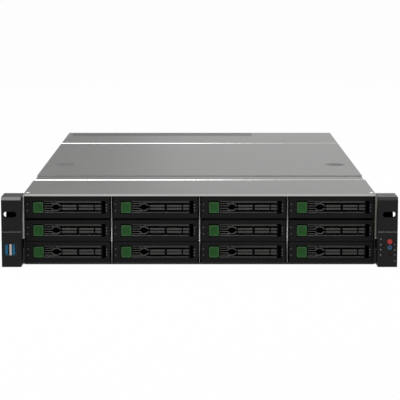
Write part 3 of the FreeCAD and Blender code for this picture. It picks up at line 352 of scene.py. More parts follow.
tray_steel = sheet_steel("tray_zinc", (0.46, 0.46, 0.45), (0.38, 0.38, 0.37), 0.42)
# Near-black steel: painted shade on the tray's front, on the cage's shelf fronts and on the strips in the gaps beside
# the brackets.
dark_edge = sheet_steel("dark_edge", (0.020, 0.020, 0.020), (0.012, 0.012, 0.012), 0.5, metal=0.3)
# A lighter copy of the tray zinc: painted highlight on the folded cover fronts, the bracket fronts, the left hem and
# the bracket feet.
bright_lip = sheet_steel("bright_lip", (0.50, 0.50, 0.485), (0.44, 0.44, 0.425), 0.35)
# A darker, olive copy of the zinc: painted shade on the right bracket's front and hem.
dull_zinc = sheet_steel("dull_zinc", (0.25, 0.245, 0.205), (0.20, 0.195, 0.165), 0.4)
tray_mesh = merged_copy("chassis_tray")
# The tray's front faces, the floor just behind them and the side fronts below the tabs are painted near-black as
# painted shade.
coated(tray_mesh, 1, lambda middle, normal: middle.y < FACE + 6 * MM and abs(middle.x) < TRAY_HALF
       and (normal.y < -0.7 or middle.z < TRAY_SHEET + 1 * MM and normal.z > 0.7))
coated(tray_mesh, 1, lambda middle, normal: abs(middle.x) > TRAY_HALF and normal.y < -0.7
       and middle.z < TAB_TOP)
# The bracket fronts above the tabs and the tab tops get the lighter copy as painted highlight.
coated(tray_mesh, 2, lambda middle, normal: abs(middle.x) > TRAY_HALF and middle.y < BRACKET_STEP
       and (normal.y < -0.7 and middle.z > TAB_TOP or normal.z > 0.7 and middle.z < TAB_TOP + 1 * MM))
# The right bracket's front above the tab gets the darker copy instead, as painted shade.
coated(tray_mesh, 3, lambda middle, normal: middle.x > TRAY_HALF and middle.y < BRACKET_STEP
       and normal.y < -0.7 and middle.z > TAB_TOP)
finished("tray", tray_mesh, [tray_steel, dark_edge, bright_lip, dull_zinc], "chassis", "zinc_steel",
         ["chassis_tray"])

# The hem at each bracket front is painted: lighter as painted highlight on the left, darker as painted shade on the
# right.
for side, mark, hem_painted_light in ((-1, "left", bright_lip), (1, "right", dull_zinc)):
    for name, reach, ys, zs, steel, edge in (
            ("hem", HEM_OUTER, (tray_low.y, tray_low.y + 3 * MM), (FOOT_LOW, HEM_TOP), hem_painted_light, 0.2 * MM),
            # A small block at each bracket foot in the lighter copy: painted highlight.
            ("foot", tray_high.x, (tray_low.y - FOOT_PROUD, tray_low.y + 5 * MM),
             (FOOT_LOW, FOOT_LOW + 1.1 * MM), bright_lip, 0.2 * MM),
            # A near-black strip in the gap between each bracket and the tray: painted shade.
            ("spacer", HEM_OUTER, (FACE + 2 * MM, FACE + 5 * MM), (0.1 * MM, HEM_TOP), dark_edge, 0.0)):
        xs = sorted((side * HEM_INNER, side * reach))
        finished("bracket_%s_%s" % (name, mark), boxes(name, ((xs[0], ys[0], zs[0]), (xs[1], ys[1], zs[1]))),
                 [steel], "chassis", "zinc_steel", edge=edge)


# ---------------------------------------------------------------- covers
# Three covers close the top: the front cover with its folded lip and low strip, the cover
# that slides forward over that strip, and the rear panel with the back wall folded down.
# All are zinc-coated sheet, and a rolled bead stiffens the edges at each step.

cover_steel = sheet_steel("cover_zinc", (0.205, 0.205, 0.201), (0.17, 0.17, 0.167), 0.42, edge_tint=0.57)
# A lighter copy of the cover zinc for the beads: painted highlight.
bead_bright = sheet_steel("bead_bright", (0.54, 0.54, 0.53), (0.48, 0.48, 0.47), 0.2)
# A darker copy of the cover zinc: painted shade on the low strip at the back of the rear panel.
recess_painted_shade = sheet_steel("recess_zinc", (0.16, 0.16, 0.157), (0.13, 0.13, 0.127), 0.45, edge_tint=0.48)
SKIN_TOP = 87.4 * MM

FRONT_FACE_LOW = 80.0 * MM
RECESS_FROM = 310.0 * MM
BEAD_DEEP = 1.6 * MM
BEAD_HIGH = 0.6 * MM
BEAD_STARTS = (-244.7 * MM, 198.1 * MM)
cover_low, cover_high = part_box("front_cover")


def flat_skin(mesh):
    """Press a cover's beads flat, to make room for the separate ones."""
    for vertex in mesh.vertices:
        vertex.co.z = min(vertex.co.z, SKIN_TOP)
    return mesh


def cover_faces(name):
    """A cover's skin with its folded front marked for a lighter copy of the zinc, a painted highlight."""
    def folded_front(middle, normal):
        return normal.y < -0.7 and (middle.y < cover_low.y + 0.5 * MM
                                    or name == "sliding_cover" and middle.z > FRONT_FACE_LOW)

    return coated(flat_skin(merged_copy(name)), 1, folded_front)


def bead(start):
    """A pressed bead across the cover: a sloped front that catches the light, a narrow crown."""
    skin = bmesh.new()
    foot = SKIN_TOP - 0.2 * MM
    profile = [(start, foot), (start, SKIN_TOP), (start + BEAD_HIGH, SKIN_TOP + BEAD_HIGH),
               (start + BEAD_DEEP - BEAD_HIGH, SKIN_TOP + BEAD_HIGH), (start + BEAD_DEEP, SKIN_TOP),
               (start + BEAD_DEEP, foot)]
    ends = [[skin.verts.new((x, y, z)) for y, z in profile] for x in (cover_low.x, cover_high.x)]
    for k in range(len(profile)):
        after = (k + 1) % len(profile)
        skin.faces.new((ends[0][k], ends[0][after], ends[1][after], ends[1][k]))
    for end in ends:
        skin.faces.new(end)
    return made_mesh("bead", skin)


for name, body in (("front_cover", "chassis"), ("sliding_cover", "sliding_cover")):
    # The folded fronts of both covers are in the lighter copy of the zinc: painted highlight.
    finished(name + "_sheet", cover_faces(name), [cover_steel, bright_lip], body,
             "cover_steel", [name], crease=30)
# The beads are in the lighter copy of the cover zinc as painted highlight.
for name, start in zip(("front_cover", "rear_panel"), BEAD_STARTS):
    finished(name + "_bead", bead(start), [bead_bright], "chassis", "cover_steel", [name], crease=30)


# ---------------------------------------------------------------- drive cage
# The cage is bent from zinc-coated sheet: two shelves and three uprights make the twelve
# bays. Its bare front edges show as bright lines between the carriers.

SHELF_LEVELS = ((26.0 * MM, 30.0 * MM), (53.0 * MM, 59.0 * MM))
BAY_PITCH = 108.0 * MM
UPRIGHT_HALF = 1.2 * MM

cage_steel = sheet_steel("cage_zinc", (0.40, 0.40, 0.39), (0.30, 0.30, 0.29), 0.45)


def on_shelf(middle, normal):
    """Whether a face of the cage belongs to a shelf and not to an upright."""
    clear = min(abs(middle.x - upright * BAY_PITCH) for upright in (-1, 0, 1)) > UPRIGHT_HALF
    return clear and any(low < middle.z < high for low, high in SHELF_LEVELS)


# The shelf fronts are painted near-black as painted shade in the gaps between the rows of carriers.
finished("cage", coated(merged_copy("drive_cage"), 1, on_shelf), [cage_steel, dark_edge], "chassis",
         "zinc_steel", ["drive_cage"])


# ---------------------------------------------------------------- drive carriers
# Each carrier is moulded in black plastic around a plain 3.5 inch drive. Its front has a
# recess for the button and the lever, two holes for light pipes and three small windows.

def moulded_plastic(name, colour, wear_and_rim_highlight, roughness, shine=0.25, grain=1400.0, depth=0.12):
    """Moulded plastic: spark-eroded grain, soft patches of gloss and a little handling wear."""
    material, tree, plastic = new_material(name)
    where = node(tree, "ShaderNodeTexCoord").outputs["Object"]
    patches = noise(tree, where, 45, 6, Roughness=0.65)
    fed(tree, plastic, {"Specular IOR Level": shine,
                        "Base Color": ramp(tree, patches, (0.35, colour), (0.8, wear_and_rim_highlight)),
                        "Roughness": spread_to(tree, patches, roughness - 0.08, roughness + 0.08),
                        "Normal": relief(tree, noise(tree, where, grain, 3), depth, 0.0003)})
    return material


def circle(radius, count, start=0.0):
    """Points round a circle, as (across, up)."""
    turns = [start + 2 * math.pi * k / count for k in range(count)]
    return [(radius * math.cos(turn), radius * math.sin(turn)) for turn in turns]


def lofted(skin, rings):
    """Skin over rings of equal count, each a list of points, closed at both ends."""
    made = [[skin.verts.new(point) for point in ring] for ring in rings]
    count = len(made[0])
    for one, two in zip(made, made[1:]):
        for k in range(count):
            skin.faces.new((one[k], one[(k + 1) % count], two[(k + 1) % count], two[k]))
    skin.faces.new(made[0][::-1])
    skin.faces.new(made[-1])


def loft_mesh(name, rings):
    """A mesh of one skin over rings."""
    skin = bmesh.new()
    lofted(skin, rings)
    return made_mesh(name, skin)


def bar(skin, path, width, ys):
    """A flat bar of even width that follows a path of (x, z) points, from ys[0] to ys[1]."""
    sides = ([], [])
    for number, (x, z) in enumerate(path):
        before = Vector(path[max(number - 1, 0)])
        after = Vector(path[min(number + 1, len(path) - 1)])
        along = (after - before).normalized()
        across = Vector((-along.y, along.x)) * width / 2
        sides[0].append((x + across.x, z + across.y))
        sides[1].append((x - across.x, z - across.y))
    near, far = ys
    lofted(skin, [[(upper[0], near, upper[1]), (lower[0], near, lower[1]),
                   (lower[0], far, lower[1]), (upper[0], far, upper[1])] for upper, lower in zip(*sides)])


def shifted(mesh, place):
    """A copy of a mesh moved to its place."""
    copy = mesh.copy()
    copy.transform(Matrix.Translation(place))
    return copy


def in_bays(kind, slot, origin, *pieces):
    """Finish pieces in the twelve bays; a piece is (name, mesh, materials, more for finished)."""
    for row in (1, 2, 3):
        for column in (1, 2, 3, 4):
            mark = "_%d%d" % (row, column)
            body = kind + mark
            place = origin(*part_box(body))
            for name, mesh, materials, more in pieces:
                finished(name + mark, shifted(mesh, place), materials, body, slot, [body], **more)


def carrier_origin(low, high):
    """The middle of a carrier's lower front edge."""
    return Vector(((low.x + high.x) / 2, low.y, low.z + 0.05 * MM))
BEZEL_HALF = 51.7 * MM
BEZEL_TALL = 26.0 * MM
BEZEL_DEPTH = 12.0 * MM
RECESS_X = (-42.8 * MM, 46.6 * MM)
RECESS_Z = (5.4 * MM, 21.3 * MM)
RECESS_FLOOR = 9.0 * MM
PIPE_X = -49.3 * MM
PIPE_HEIGHTS = (9.1 * MM, 17.0 * MM)
PIPE_HALF = 1.2 * MM
WINDOW_X = 47.75 * MM
WINDOW_HEIGHTS = (9.3 * MM, 12.9 * MM, 16.5 * MM)
WINDOW_HALF = 0.75 * MM
DRIVE_START = 14.0 * MM
DRIVE_LENGTH = 147.0 * MM
DRIVE_HALF = 50.8 * MM
DRIVE_HIGH = 25.9 * MM
RAIL_TALL = 18.0 * MM

bezel_black = moulded_plastic("bezel_black", (0.0050, 0.0050, 0.0054), (0.0085, 0.0085, 0.0085), 0.55, shine=0.12)
# A darker copy of the bezel plastic: painted shade on the lever frame behind the bars.
recess_black = moulded_plastic("recess_black", (0.0018, 0.0018, 0.0018), (0.0030, 0.0030, 0.0030), 0.6, shine=0.05)
# Near-black plastic: painted shade in the carrier recess, on the drive's front and on the walls of the ear slots.
deep_black = moulded_plastic("deep_black", (0.0010, 0.0010, 0.0010), (0.0018, 0.0018, 0.0018), 0.7, shine=0)
window_pale = moulded_plastic("window_pale", (0.17, 0.175, 0.20), (0.24, 0.25, 0.27), 0.4, shine=0.3)
pipe_grey = moulded_plastic("light_pipe", (0.050, 0.050, 0.055), (0.085, 0.085, 0.09), 0.3, shine=0.5)


def bezel():
    """The carrier's front: frame with recess, holes and windows, and the slotted recess floor."""
    skin = bmesh.new()
    xs = [-BEZEL_HALF, PIPE_X - PIPE_HALF, PIPE_X + PIPE_HALF, RECESS_X[0], RECESS_X[1],
          WINDOW_X - WINDOW_HALF, WINDOW_X + WINDOW_HALF, BEZEL_HALF]
    zs = [0, RECESS_Z[0]]
    for height in PIPE_HEIGHTS:
        zs += [height - PIPE_HALF, height + PIPE_HALF]
    for height in WINDOW_HEIGHTS:
        zs += [height - WINDOW_HALF, height + WINDOW_HALF]
    zs = sorted(set(zs + [RECESS_Z[1], BEZEL_TALL]))

    def filled(i, j):
        x, z = (xs[i] + xs[i + 1]) / 2, (zs[j] + zs[j + 1]) / 2
        if RECESS_X[0] < x < RECESS_X[1] and RECESS_Z[0] < z < RECESS_Z[1]:
            return False
        if abs(x - PIPE_X) < PIPE_HALF and any(abs(z - h) < PIPE_HALF for h in PIPE_HEIGHTS):
            return False
        return not (abs(x - WINDOW_X) < WINDOW_HALF and any(abs(z - h) < WINDOW_HALF for h in WINDOW_HEIGHTS))

    lattice(skin, xs, zs, (0, BEZEL_DEPTH), filled)
    return made_mesh("bezel", skin)


def recess_floor():
    """The floor of the recess, with the air slots that feed the drive."""
    skin = bmesh.new()
    count, web = 22, 1.3 * MM
    left, right = RECESS_X[0] - 0.3 * MM, RECESS_X[1] + 0.3 * MM
    pitch = (right - left - web) / count
    xs = [left]
    for number in range(count):
        xs += [left + number * pitch + web, left + (number + 1) * pitch]
    xs.append(right)
    low, high = RECESS_Z[0] - 0.3 * MM, RECESS_Z[1] + 0.3 * MM
    middle = (low + high) / 2
    zs = [low, low + 1.6 * MM, middle - 0.6 * MM, middle + 0.6 * MM, high - 1.6 * MM, high]
    lattice(skin, xs, zs, (RECESS_FLOOR, BEZEL_DEPTH - 0.2 * MM), lambda i, j: not (i % 2 == 1 and j in (1, 3)))
    return made_mesh("recess_floor", skin)


def light_pipes():
    """Two square light pipes with a slightly sunk end."""
    half = PIPE_HALF - 0.1 * MM
    return boxes("light_pipes", *(((PIPE_X - half, 0.5 * MM, height - half),
                                   (PIPE_X + half, BEZEL_DEPTH, height + half)) for height in PIPE_HEIGHTS))


def windows():
    """Three small pale windows at the right end of the bezel."""
    return boxes("windows", *(((WINDOW_X - WINDOW_HALF, 0.3 * MM, height - WINDOW_HALF),
                               (WINDOW_X + WINDOW_HALF, 3 * MM, height + WINDOW_HALF))
                              for height in WINDOW_HEIGHTS))


# The recess floor is painted near-black as painted shade.
in_bays("drive_carrier", "carrier_plastic", carrier_origin,
        ("bezel", bezel(), [bezel_black], {"edge": 0.25 * MM}),
        ("recess_floor", recess_floor(), [deep_black], {}),
        ("light_pipes", light_pipes(), [pipe_grey], {"edge": 0.3 * MM}),
        ("windows", windows(), [window_pale], {"edge": 0.15 * MM}))


# ---------------------------------------------------------------- drives
# A 3.5 inch drive sits in each carrier between two slim side rails: a cast case with a
# raised sheet lid. It shows when a carrier is pulled out.

drive_cast = sheet_steel("drive_cast", (0.30, 0.30, 0.31), (0.22, 0.22, 0.23), 0.5)
LID_SHEET = 1.0 * MM
LID_INSET = 3.0 * MM


def drive():
    """The drive's case with its raised lid."""
    start, end = DRIVE_START, DRIVE_START + DRIVE_LENGTH
    return boxes("drive", ((-DRIVE_HALF, start, 0), (DRIVE_HALF, end, DRIVE_HIGH - LID_SHEET)),
                 ((-DRIVE_HALF + LID_INSET, start + LID_INSET, DRIVE_HIGH - 2 * LID_SHEET),
                  (DRIVE_HALF - LID_INSET, end - LID_INSET, DRIVE_HIGH)))


def side_rails():
    """Two plastic rails that hold the drive and slide in the bay."""
    low, high = (BEZEL_TALL - RAIL_TALL) / 2, (BEZEL_TALL + RAIL_TALL) / 2
    return boxes("side_rails", *(((left, BEZEL_DEPTH - 1 * MM, low), (right, DRIVE_START + DRIVE_LENGTH, high))
                                 for left, right in ((-BEZEL_HALF, -DRIVE_HALF), (DRIVE_HALF, BEZEL_HALF))))


# The drive's front face is painted near-black as painted shade behind the bezel.
in_bays("drive_carrier", "carrier_plastic", carrier_origin,
        ("drive", coated(drive(), 1, lambda middle, normal: normal.y < -0.9), [drive_cast, deep_black],
         {"edge": 0.5 * MM}),
        ("side_rails", side_rails(), [bezel_black], {"edge": 0.15 * MM}))


# ---------------------------------------------------------------- carrier levers
# The lever is an open grille of moulded plastic that swings out on a pin at its right end.
# Two outer bars run its whole length, two middle bars stop at each post, and at the left
# they fold round a six-sided opening next to the finger end.

LEVER_X = (-29.5 * MM, 43.0 * MM)
LEVER_Y = (0.5 * MM, 6.0 * MM)
LEVER_Z = (5.8 * MM, 21.0 * MM)
BAR_LEVELS = ((5.8, 7.3), (10.1, 12.4), (13.7, 16.1), (19.0, 21.0))
POSTS = ((-8.9, -8.1), (11.0, 12.6), (32.2, 33.4))
BARS_END = 41.0
TOP_BAR_FROM = -15.0 * MM
FINGER_WEBS = (LEVER_X[0], -25.6 * MM, -19.9 * MM)
RUNS = ((-6.8, 11.0), (14.0, 31.9), (33.7, BARS_END))
PIN_BLOCK = 36.65 * MM

lever_grey = moulded_plastic("lever_grey", (0.032, 0.032, 0.030), (0.052, 0.052, 0.048), 0.42, shine=0.3)
# A lighter copy of the lever plastic for the bars' rounded edges: painted highlight.
lever_bright = moulded_plastic("lever_bright", (0.085, 0.085, 0.080), (0.12, 0.12, 0.115), 0.35, shine=0.4)


def lever_frame():
    """The frame behind the bars: posts, webs and the block that holds the pin, painted near-black as painted shade."""
    skin = bmesh.new()
    near, far = LEVER_Y[0] + 1.6 * MM, LEVER_Y[1] - 0.1 * MM
    low, high = BAR_LEVELS[0][1] * MM - 0.3 * MM, BAR_LEVELS[3][0] * MM + 0.3 * MM
    for left, right in POSTS:
        block(skin, (left * MM, near, low), (right * MM, far, high))
    for web_low, web_high in BAR_LEVELS[1:3]:
        block(skin, (POSTS[0][1] * MM, near, web_low * MM), (RUNS[2][0] * MM, far - 0.1 * MM, web_high * MM))
    block(skin, (PIN_BLOCK, near, low), (LEVER_X[1], far, high))
    for left in FINGER_WEBS:
        block(skin, (left, near + 0.4 * MM, low), (left + 1.1 * MM, far, high))
    return made_mesh("lever_frame", skin)


def lever_bars():
    """The lever's bars and finger end, in the carrier's own frame."""
    skin = bmesh.new()
    near, far = LEVER_Y
    bottom, top = BAR_LEVELS[0], BAR_LEVELS[3]
    block(skin, (LEVER_X[0], near + 0.8 * MM, bottom[0] * MM), (BARS_END * MM, far, bottom[1] * MM))
    block(skin, (TOP_BAR_FROM, near, top[0] * MM), (BARS_END * MM, far, top[1] * MM))
    block(skin, (LEVER_X[0], near + 1.6 * MM, top[0] * MM + 0.6 * MM), (TOP_BAR_FROM + 1 * MM, far, top[1] * MM))
    for low, high in BAR_LEVELS[1:3]:
        for left, right in RUNS:
            block(skin, (left * MM, near, low * MM), (right * MM, far, high * MM))
    middle = (LEVER_Z[0] + LEVER_Z[1]) / 2
    arm = 1.3 * MM
    for side in (-1, 1):
        bar(skin, [(-19.6 * MM, middle + side * 1.5 * MM), (-16.6 * MM, middle + side * 4.3 * MM),
                   (-12.6 * MM, middle + side * 4.3 * MM), (-8.4 * MM, middle + side * 1.6 * MM)],
            arm, (near + 0.2 * MM, far - 0.3 * MM))
        bar(skin, [(-19.8 * MM, middle + side * 5.5 * MM), (-17.2 * MM, middle + side * 4.6 * MM)],
            arm, (near + 0.3 * MM, far - 0.4 * MM))
    for height in (-4.4, -1.5, 1.5, 4.4):
        block(skin, (-28.8 * MM, near + 0.8 * MM, middle + (height - 0.4) * MM),
              (-19.2 * MM, far - 0.5 * MM, middle + (height + 0.4) * MM))
    return made_mesh("lever_bars", skin)


def lever_origin(low, high):
    """The origin of the carrier's frame, seen from a lever's low corner."""
    return Vector((low.x - LEVER_X[0], low.y - LEVER_Y[0], low.z - LEVER_Z[0]))


# The bars' rounded edges take the lighter copy as painted highlight.
in_bays("carrier_lever", "lever_plastic", lever_origin,
        ("lever_bars", lever_bars(), [lever_grey, lever_bright], {"edge": 0.35 * MM, "edge_finish": 1}),
        ("lever_frame", lever_frame(), [recess_black], {"edge": 0.2 * MM}))


# ---------------------------------------------------------------- release buttons
# Pressing the green button lets the lever go. It is a moulded cap with a dished face, and
# its rim is painted paler as a painted highlight.

BUTTON_HALF_X = 6.3 * MM
BUTTON_HALF_Z = 6.9 * MM
BUTTON_DEPTH = 6.0 * MM
BUTTON_CORNER = 1.4 * MM
BUTTON_RIM = 1.3 * MM
BUTTON_DISH = 1.1 * MM
CORNER_STEPS = 4


def rounded_outline(half_x, half_z, corner):
    """Points round a rectangle with round corners, starting at its right side."""
    points = []
    for turn, (sx, sz) in enumerate(((1, 1), (-1, 1), (-1, -1), (1, -1))):
        for step in range(CORNER_STEPS + 1):
            angle = math.radians(90 * (turn + step / CORNER_STEPS))
            points.append((sx * (half_x - corner) + corner * math.cos(angle),
                           sz * (half_z - corner) + corner * math.sin(angle)))
    return points


def button_cap():
    """A dished cap: square sides, a round rim and a hollow face."""
    skin = bmesh.new()
    rings = []
    profile = [(0, BUTTON_DEPTH), (0, 0.9 * MM), (0.25 * MM, 0.3 * MM), (0.8 * MM, 0),
               (BUTTON_RIM, 0.12 * MM)]
    for k in range(1, 6):
        t = k / 5
        profile.append((BUTTON_RIM + t * (BUTTON_HALF_X - BUTTON_RIM - 0.6 * MM),
                        0.12 * MM + BUTTON_DISH * math.sin(t * math.pi / 2)))
    for inset, depth in profile:
        corner = max(BUTTON_CORNER - inset * 0.2, 0.3 * MM)
        half_x, half_z = BUTTON_HALF_X - inset, BUTTON_HALF_Z - inset
        rings.append([(x, depth, z) for x, z in rounded_outline(half_x, half_z, min(corner, half_x * 0.9))])
    lofted(skin, rings)
    mesh = made_mesh("button", skin)
    # The rim attribute marks the rounded rim, where the green is painted paler as a painted highlight.
    wear_and_rim_highlight = mesh.attributes.new("rim", "FLOAT", "POINT")
    for vertex in mesh.vertices:
        edge = max(abs(vertex.co.x) / BUTTON_HALF_X, abs(vertex.co.z) / BUTTON_HALF_Z)
        wear_and_rim_highlight.data[vertex.index].value = max(0.0, min(1.0, (edge - 0.72) / 0.2))
    return mesh


def button_green():
    """Green plastic that pales where the rim attribute rises: a painted highlight on the rounded rim."""
    material = moulded_plastic("button_green", (0.0035, 0.066, 0.0040), (0.0060, 0.088, 0.0065), 0.42)
    tree = material.node_tree
    colour = tree.nodes["Principled BSDF"].inputs["Base Color"]
    rim = node(tree, "ShaderNodeAttribute", attribute_name="rim")
    pale = node(tree, "ShaderNodeMix", {0: rim.outputs["Fac"], 6: colour.links[0].from_socket,
                                        7: (0.045, 0.120, 0.045, 1)}, data_type="RGBA")
    tree.links.new(pale.outputs[2], colour)
    return material


def button_origin(low, high):
    """The middle of a button's front."""
    return Vector(((low.x + high.x) / 2, low.y, (low.z + high.z) / 2))


in_bays("release_button", "release_green", button_origin, ("button", button_cap(), [button_green()], {}))


# ---------------------------------------------------------------- ears
# Two black moulded ears are screwed to the brackets. Each has a rack slot with a relief
# behind it, a moulded parting line and a sloped front edge at its top.

LAMP_RADIUS = 0.85 * MM
LAMP_SUNK = 0.15 * MM
LAMP_BORE = 1.6 * MM
INNER_LAMPS = (34.6, 27.7, 21.5, 14.9)
OUTER_LAMPS = (27.8, 21.2, 15.0, 7.6)
INNER_LAMP_X = 220.9 * MM
OUTER_LAMP_X = 237.9 * MM
PARTING_LINE = (42.95 * MM, 43.65 * MM)
SLOT_WALLS = (51.5 * MM, 71.5 * MM)
SLOT_SIDES = (222 * MM, 241 * MM)
BRIDGE_X = (-231.8 * MM, -229.1 * MM)
BRIDGE_Z = (14.5 * MM, 28.4 * MM)


def carved(mesh, cutter_mesh):
    """A mesh with the shape of another cut out of it."""
    cutter = bpy.data.objects.new("cutter", cutter_mesh)
    holder = bpy.data.objects.new("holder", mesh)
    for thing in (cutter, holder):
        bpy.context.scene.collection.objects.link(thing)
    opening = holder.modifiers.new("opening", "BOOLEAN")
    opening.object = cutter
    opening.operation = "DIFFERENCE"
    opening.solver = "EXACT"
    made = bpy.data.meshes.new_from_object(holder.evaluated_get(bpy.context.evaluated_depsgraph_get()))
    for thing in (cutter, holder):
        bpy.data.objects.remove(thing)
    return made


def lamp_bores():
    """Round bores for the lamps in the front of the right ear."""
    skin = bmesh.new()
    places = [(INNER_LAMP_X, z) for z in INNER_LAMPS] + [(OUTER_LAMP_X, z) for z in OUTER_LAMPS]
    for x, z in places:
        lofted(skin, [[(x + across, y, z * MM + up) for across, up in circle(LAMP_RADIUS + 0.1 * MM, 16)]
                      for y in (FRONT + LAMP_BORE, FRONT - 1 * MM)])
    return made_mesh("lamp_bores", skin)


def bridge_pocket():
    """A shallow pocket for the plate between the two sockets of the left ear."""
    return boxes("bridge_pocket", ((BRIDGE_X[0] - 0.1 * MM, FRONT - 1 * MM, BRIDGE_Z[0] - 0.1 * MM),
                                   (BRIDGE_X[1] + 0.1 * MM, FRONT + 1.5 * MM, BRIDGE_Z[1] + 0.1 * MM)))


ear_black = moulded_plastic("ear_black", (0.0050, 0.0050, 0.0054), (0.0085, 0.0085, 0.0085), 0.5, shine=0.18)
ear_top = moulded_plastic("ear_top", (0.0070, 0.0070, 0.0074), (0.0115, 0.0115, 0.0115), 0.42, shine=0.035)
ear_sheen = moulded_plastic("ear_sheen", (0.006, 0.006, 0.006), (0.010, 0.010, 0.010), 0.2, shine=0.42)
ear_parting = moulded_plastic("ear_parting", (0.42, 0.42, 0.42), (0.50, 0.50, 0.50), 0.4, shine=0.4)
ear_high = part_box("left_ear")[1].z


def ear_faces(mesh):
    """Mark an ear's glossy sloped edge, its top, its parting line and the walls of its slot, which get near-black
    plastic as painted shade.
    """
    coated(mesh, 1, lambda middle, normal: normal.z > 0.6 and middle.z > ear_high - 5 * MM)
    coated(mesh, 2, lambda middle, normal: normal.z > 0.6 and normal.y > -0.5 and middle.z > SLOT_WALLS[1])
    coated(mesh, 3, lambda middle, normal: PARTING_LINE[0] < middle.z < PARTING_LINE[1]
           and FRONT + 0.02 * MM < middle.y < FRONT + 2 * MM and normal.y < 0.1 and abs(normal.x) < 0.5)
    return coated(mesh, 4, lambda middle, normal: SLOT_WALLS[0] < middle.z < SLOT_WALLS[1]
                  and SLOT_SIDES[0] < abs(middle.x) < SLOT_SIDES[1] and middle.y > FRONT + 0.5 * MM
                  and abs(normal.y) < 0.9)


for side in ("left_ear", "right_ear"):
    ear = carved(merged_copy(side), lamp_bores() if side == "right_ear" else bridge_pocket())
    finished(side + "_moulding", ear_faces(ear), [ear_black, ear_sheen, ear_top, ear_parting, deep_black],
             "chassis", "ear_plastic", [side], crease=12)


# ---------------------------------------------------------------- front sockets
# Two upright USB sockets sit in the left ear. Each is a shell of folded, plated steel with
# a blue tongue that carries the contacts.

SHELL_SHEET = 0.45 * MM
CONTACTS = 4
SOCKETS = ("chassis", "socket_metal", ["usb_ports"])

plated = sheet_steel("plated_shell", (0.46, 0.44, 0.45), (0.38, 0.36, 0.37), 0.3)
socket_shell = sheet_steel("socket_shell", (0.075, 0.085, 0.095), (0.050, 0.058, 0.066), 0.35)
tongue_blue = moulded_plastic("tongue_blue", (0.010, 0.130, 0.250), (0.018, 0.165, 0.310), 0.4, shine=0.2)
contact_gold = sheet_steel("contact_gold", (0.70, 0.52, 0.22), (0.62, 0.44, 0.17), 0.3)
usb_low, usb_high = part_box("usb_ports")
usb_width = 5.7 * MM

for number, left in enumerate((usb_low.x, usb_high.x - usb_width), start=1):
    right = left + usb_width
    skin = bmesh.new()
    lattice(skin, (left, left + SHELL_SHEET, right - SHELL_SHEET, right),
            (usb_low.z, usb_low.z + SHELL_SHEET, usb_high.z - SHELL_SHEET, usb_high.z),
            (usb_low.y, usb_high.y), lambda i, j: not (i == 1 and j == 1))
    block(skin, (left, usb_high.y - SHELL_SHEET, usb_low.z), (right, usb_high.y, usb_high.z))
    finished("usb_shell_%d" % number, made_mesh("shell", skin), [socket_shell], *SOCKETS, edge=0.15 * MM)
    tongue = (left + 0.6 * MM, left + 3.9 * MM)
    tongue_z = (usb_low.z + 0.9 * MM, usb_high.z - 0.9 * MM)
    finished("usb_tongue_%d" % number,
             boxes("tongue", ((tongue[0], usb_low.y + 0.8 * MM, tongue_z[0]), (tongue[1], usb_high.y, tongue_z[1]))),
             [tongue_blue], *SOCKETS, edge=0.2 * MM)
    step = (tongue_z[1] - tongue_z[0]) / CONTACTS
    heights = [tongue_z[0] + (contact + 0.5) * step for contact in range(CONTACTS)]
    finished("usb_contacts_%d" % number,
             boxes("contacts", *(((tongue[1] - 0.1 * MM, usb_low.y + 3 * MM, height - 0.5 * MM),
                                  (tongue[1] + 0.12 * MM, usb_high.y - 1 * MM, height + 0.5 * MM))
                                 for height in heights)),
             [contact_gold], *SOCKETS)

finished("usb_bridge", boxes("bridge", ((BRIDGE_X[0], usb_low.y, BRIDGE_Z[0]),
                                        (BRIDGE_X[1], usb_low.y + 1.2 * MM, BRIDGE_Z[1]))),
         [plated], *SOCKETS, edge=0.2 * MM)


# ---------------------------------------------------------------- front buttons and lamps
# Three push buttons sit in bores of the right ear: a red dished one for power, a blue ring
# for finding the server in its rack and a small recessed one for reset. Small lamps with
# plain lenses run down both sides of them.

def turned(profile, centre, steps=32):
    """A closed round shape about the Y direction from a profile of (radius, y) points."""
    return loft_mesh("turned", [[(centre[0] + x, depth, centre[1] + z) for x, z in circle(radius, steps)]
                                for radius, depth in profile])


button_red = moulded_plastic("button_red", (0.42, 0.010, 0.008), (0.52, 0.020, 0.015), 0.28, shine=0.5)
button_blue = moulded_plastic("button_blue", (0.010, 0.10, 0.22), (0.018, 0.15, 0.30), 0.3, shine=0.5)
button_dark = moulded_plastic("button_dark", (0.006, 0.012, 0.020), (0.010, 0.02, 0.03), 0.35, shine=0.4)
button_maroon = moulded_plastic("button_maroon", (0.060, 0.0045, 0.0040), (0.085, 0.008, 0.007), 0.4, shine=0.3)


def front_button(name, slot, shell, heart, heart_share):
    """A dished cap whose heart has its own colour."""
    low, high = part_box(name)
    centre = ((low.x + high.x) / 2, (low.z + high.z) / 2)
    radius, near, far = (high.x - low.x) / 2, low.y, high.y
    core = radius * heart_share
    cap = turned([(radius, far), (radius, near + 0.4 * MM), (radius - 0.15 * MM, near + 0.1 * MM),
                  (radius - 0.5 * MM, near), (core + 0.2 * MM, near + 0.1 * MM),
                  (core, near + 0.35 * MM), (core, far - 0.5 * MM)], centre)
    finished(name + "_ring", cap, [shell], name, slot, [name])
    middle = turned([(core, far - 0.4 * MM), (core, near + 0.35 * MM), (core * 0.85, near + 0.25 * MM),
                     (core * 0.5, near + 0.5 * MM), (core * 0.1, near + 0.6 * MM)], centre)
    finished(name + "_heart", middle, [heart], name, slot, [name])


front_button("power_button", "power_red", button_red, button_red, 0.7)
front_button("locator_button", "locator_blue", button_blue, button_dark, 0.5)
front_button("reset_button", "reset_red", button_maroon, button_maroon, 0.5)


